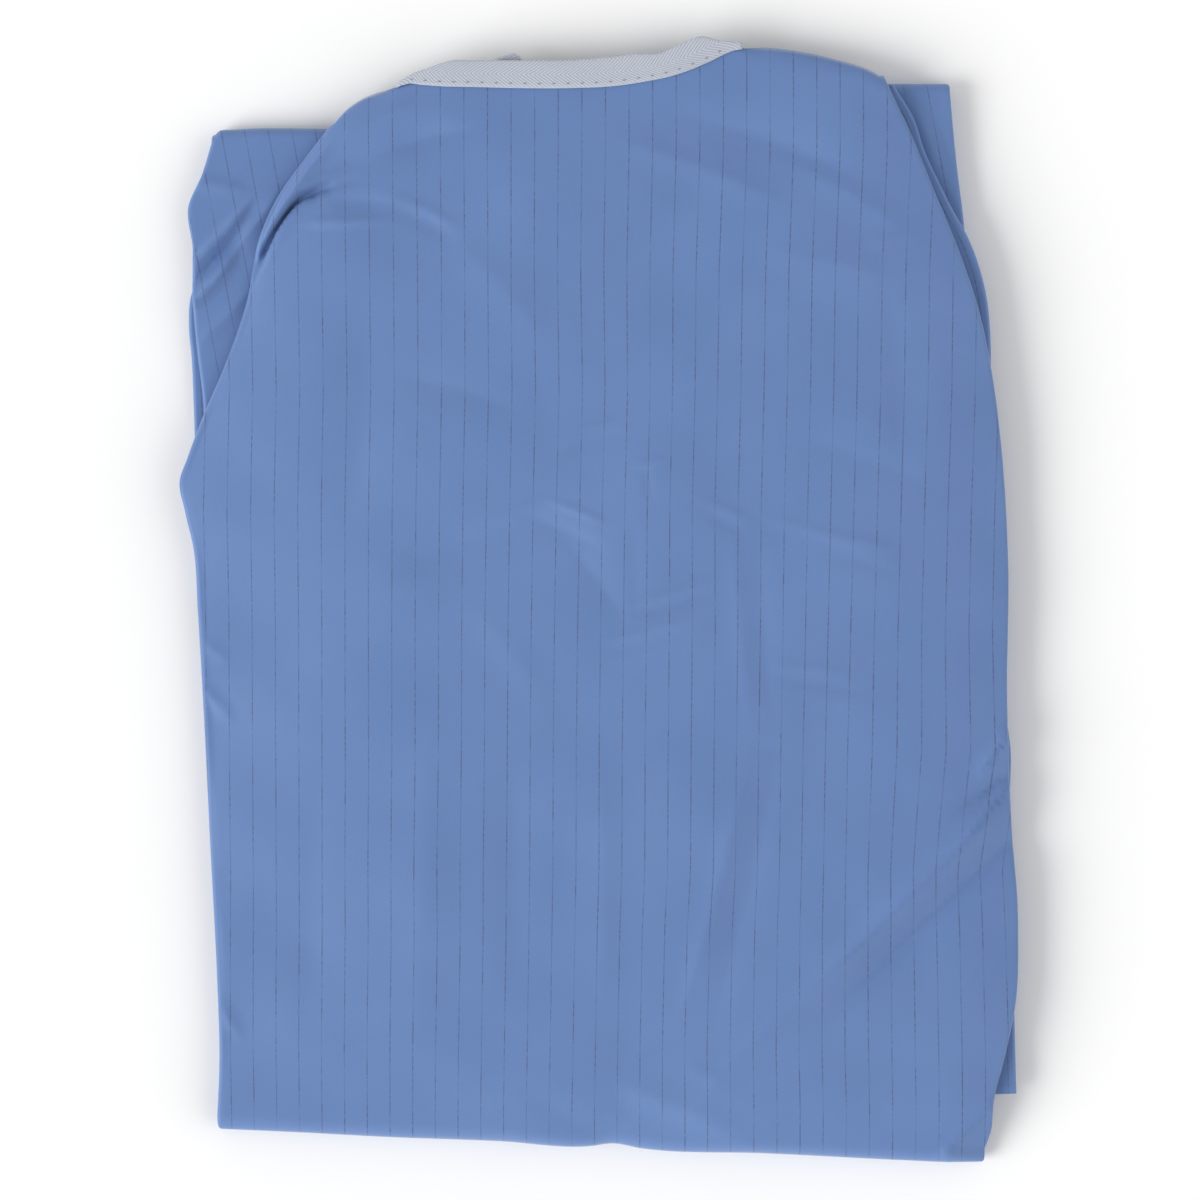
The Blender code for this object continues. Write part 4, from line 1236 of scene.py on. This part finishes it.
class GOWN_OT_seams(bpy.types.Operator):
    """Model the stitching of the hem and of the centre back on the underside"""

    bl_idname = "gown.seams"
    bl_label = "Hem and back stitching"

    def execute(self, context):
        sizes = context.scene.gown_sizes
        thread = sewing_thread("spun polyester cloth thread", context.scene.gown_colours.thread)
        hem_x = np.arange(RIGHT_SIDE_X + SEAM_INSET, LEFT_SIDE_X - SEAM_INSET, STITCH_PITCH)
        hem_y = HEM_Y + HEM_DEPTH
        down_y = np.arange(HEM_Y + SEAM_INSET, LEFT_BACK_FOLD[0].y - SEAM_INSET, STITCH_PITCH)
        rows = (
            ("hem_stitches", hem_x, np.full_like(hem_x, hem_y)),
            ("back_edge_stitches", np.full_like(down_y, LEFT_CENTRE_X - LAP + EDGE_STITCH), down_y),
        )
        for name, x, y in rows:
            points = np.column_stack([x, y, crease_height(UNDER_CREASES, x, y) + STITCH_SEAT])
            length, thickness = sizes.stitch_length, sizes.thread_thickness
            piece = stitch_row(name, points, [-UP] * len(points), length, thickness, thread)
        return {"FINISHED"}


class GOWN_OT_stage(bpy.types.Operator):
    """Set the plain pale floor, the soft lights and the camera straight above"""

    bl_idname = "gown.stage"
    bl_label = "Stage"

    def execute(self, context):
        colours = context.scene.gown_colours
        bpy.ops.mesh.primitive_plane_add(size=FLOOR_SIZE, location=(0.0, 0.0, FLOOR_DROP * MM))
        floor = bpy.context.object
        floor.name = "floor"
        material, _, shader = new_material("matt white paper")
        shader.inputs["Base Color"].default_value = linear(colours.floor)
        shader.inputs["Roughness"].default_value = 0.9
        floor.data.materials.append(material)
        for lamp in LAMPS:
            sun = bpy.data.lights.new(lamp.name, "SUN")
            sun.energy = lamp.strength
            sun.angle = radians(lamp.width)
            light = bpy.data.objects.new(lamp.name, sun)
            light.location = (lamp.x, lamp.y, lamp.z)
            light.rotation_euler = (-light.location).to_track_quat("-Z", "Y").to_euler()
            bpy.context.scene.collection.objects.link(light)
        world = bpy.data.worlds.new("light tent")
        world.use_nodes = True
        sky = world.node_tree
        direction = add_node(sky, "TexCoord", None, "Generated")
        upward = add_node(sky, "SeparateXYZ", {0: direction}, "Z")
        glow = add_node(
            sky, "MapRange", {0: upward, 1: 0.0, 2: 1.0, 3: TENT_WALL, 4: TENT_TOP},
            interpolation_type="SMOOTHSTEP",
        )
        background = sky.nodes["Background"]
        background.inputs["Color"].default_value = (1.0, 1.0, 1.0, 1.0)
        sky.links.new(glow, background.inputs["Strength"])
        bpy.context.scene.world = world
        bpy.context.scene.view_settings.view_transform = "Standard"
        lens = bpy.data.cameras.new("straight above")
        lens.lens = CAMERA_LENS
        width = SCREEN_PIXELS * PIXEL * MM
        camera = bpy.data.objects.new("straight above", lens)
        height = width * lens.lens / lens.sensor_width + CAMERA_PLANE * MM
        camera.location = (0.0, 0.0, height)
        bpy.context.scene.collection.objects.link(camera)
        bpy.context.scene.camera = camera
        return {"FINISHED"}


class GOWN_PT_panel(bpy.types.Panel):
    """Lists the steps that make the gown, with its sizes and colours"""

    bl_idname = "GOWN_PT_panel"
    bl_label = "Folded apron gown"
    bl_space_type = "VIEW_3D"
    bl_region_type = "UI"
    bl_category = "Gown"

    def draw(self, context):
        """Draw the sizes, the colours and a button for each step."""
        for group in (context.scene.gown_sizes, context.scene.gown_colours):
            for name in group.bl_rna.properties.keys():
                if name not in ("rna_type", "name"):
                    self.layout.prop(group, name)
        for step in STEPS:
            self.layout.operator(step.bl_idname)


STEPS = (
    GOWN_OT_hidden_folds, GOWN_OT_backs, GOWN_OT_sleeves, GOWN_OT_front, GOWN_OT_neck_tape,
    GOWN_OT_seams, GOWN_OT_stage,
)
CLASSES = (GownSizes, GownColours, *STEPS, GOWN_PT_panel)


def register():
    """Register the classes and give the scene its sizes and colours."""
    for item in CLASSES:
        bpy.utils.register_class(item)
    bpy.types.Scene.gown_sizes = bpy.props.PointerProperty(type=GownSizes)
    bpy.types.Scene.gown_colours = bpy.props.PointerProperty(type=GownColours)


def unregister():
    """Take the sizes, the colours and the classes away again."""
    del bpy.types.Scene.gown_sizes
    del bpy.types.Scene.gown_colours
    for item in reversed(CLASSES):
        bpy.utils.unregister_class(item)


def main():
    """Make the gown step by step."""
    register()
    for step in STEPS:
        group, name = step.bl_idname.split(".")
        getattr(getattr(bpy.ops, group), name)()


if __name__ == "__main__":
    main()
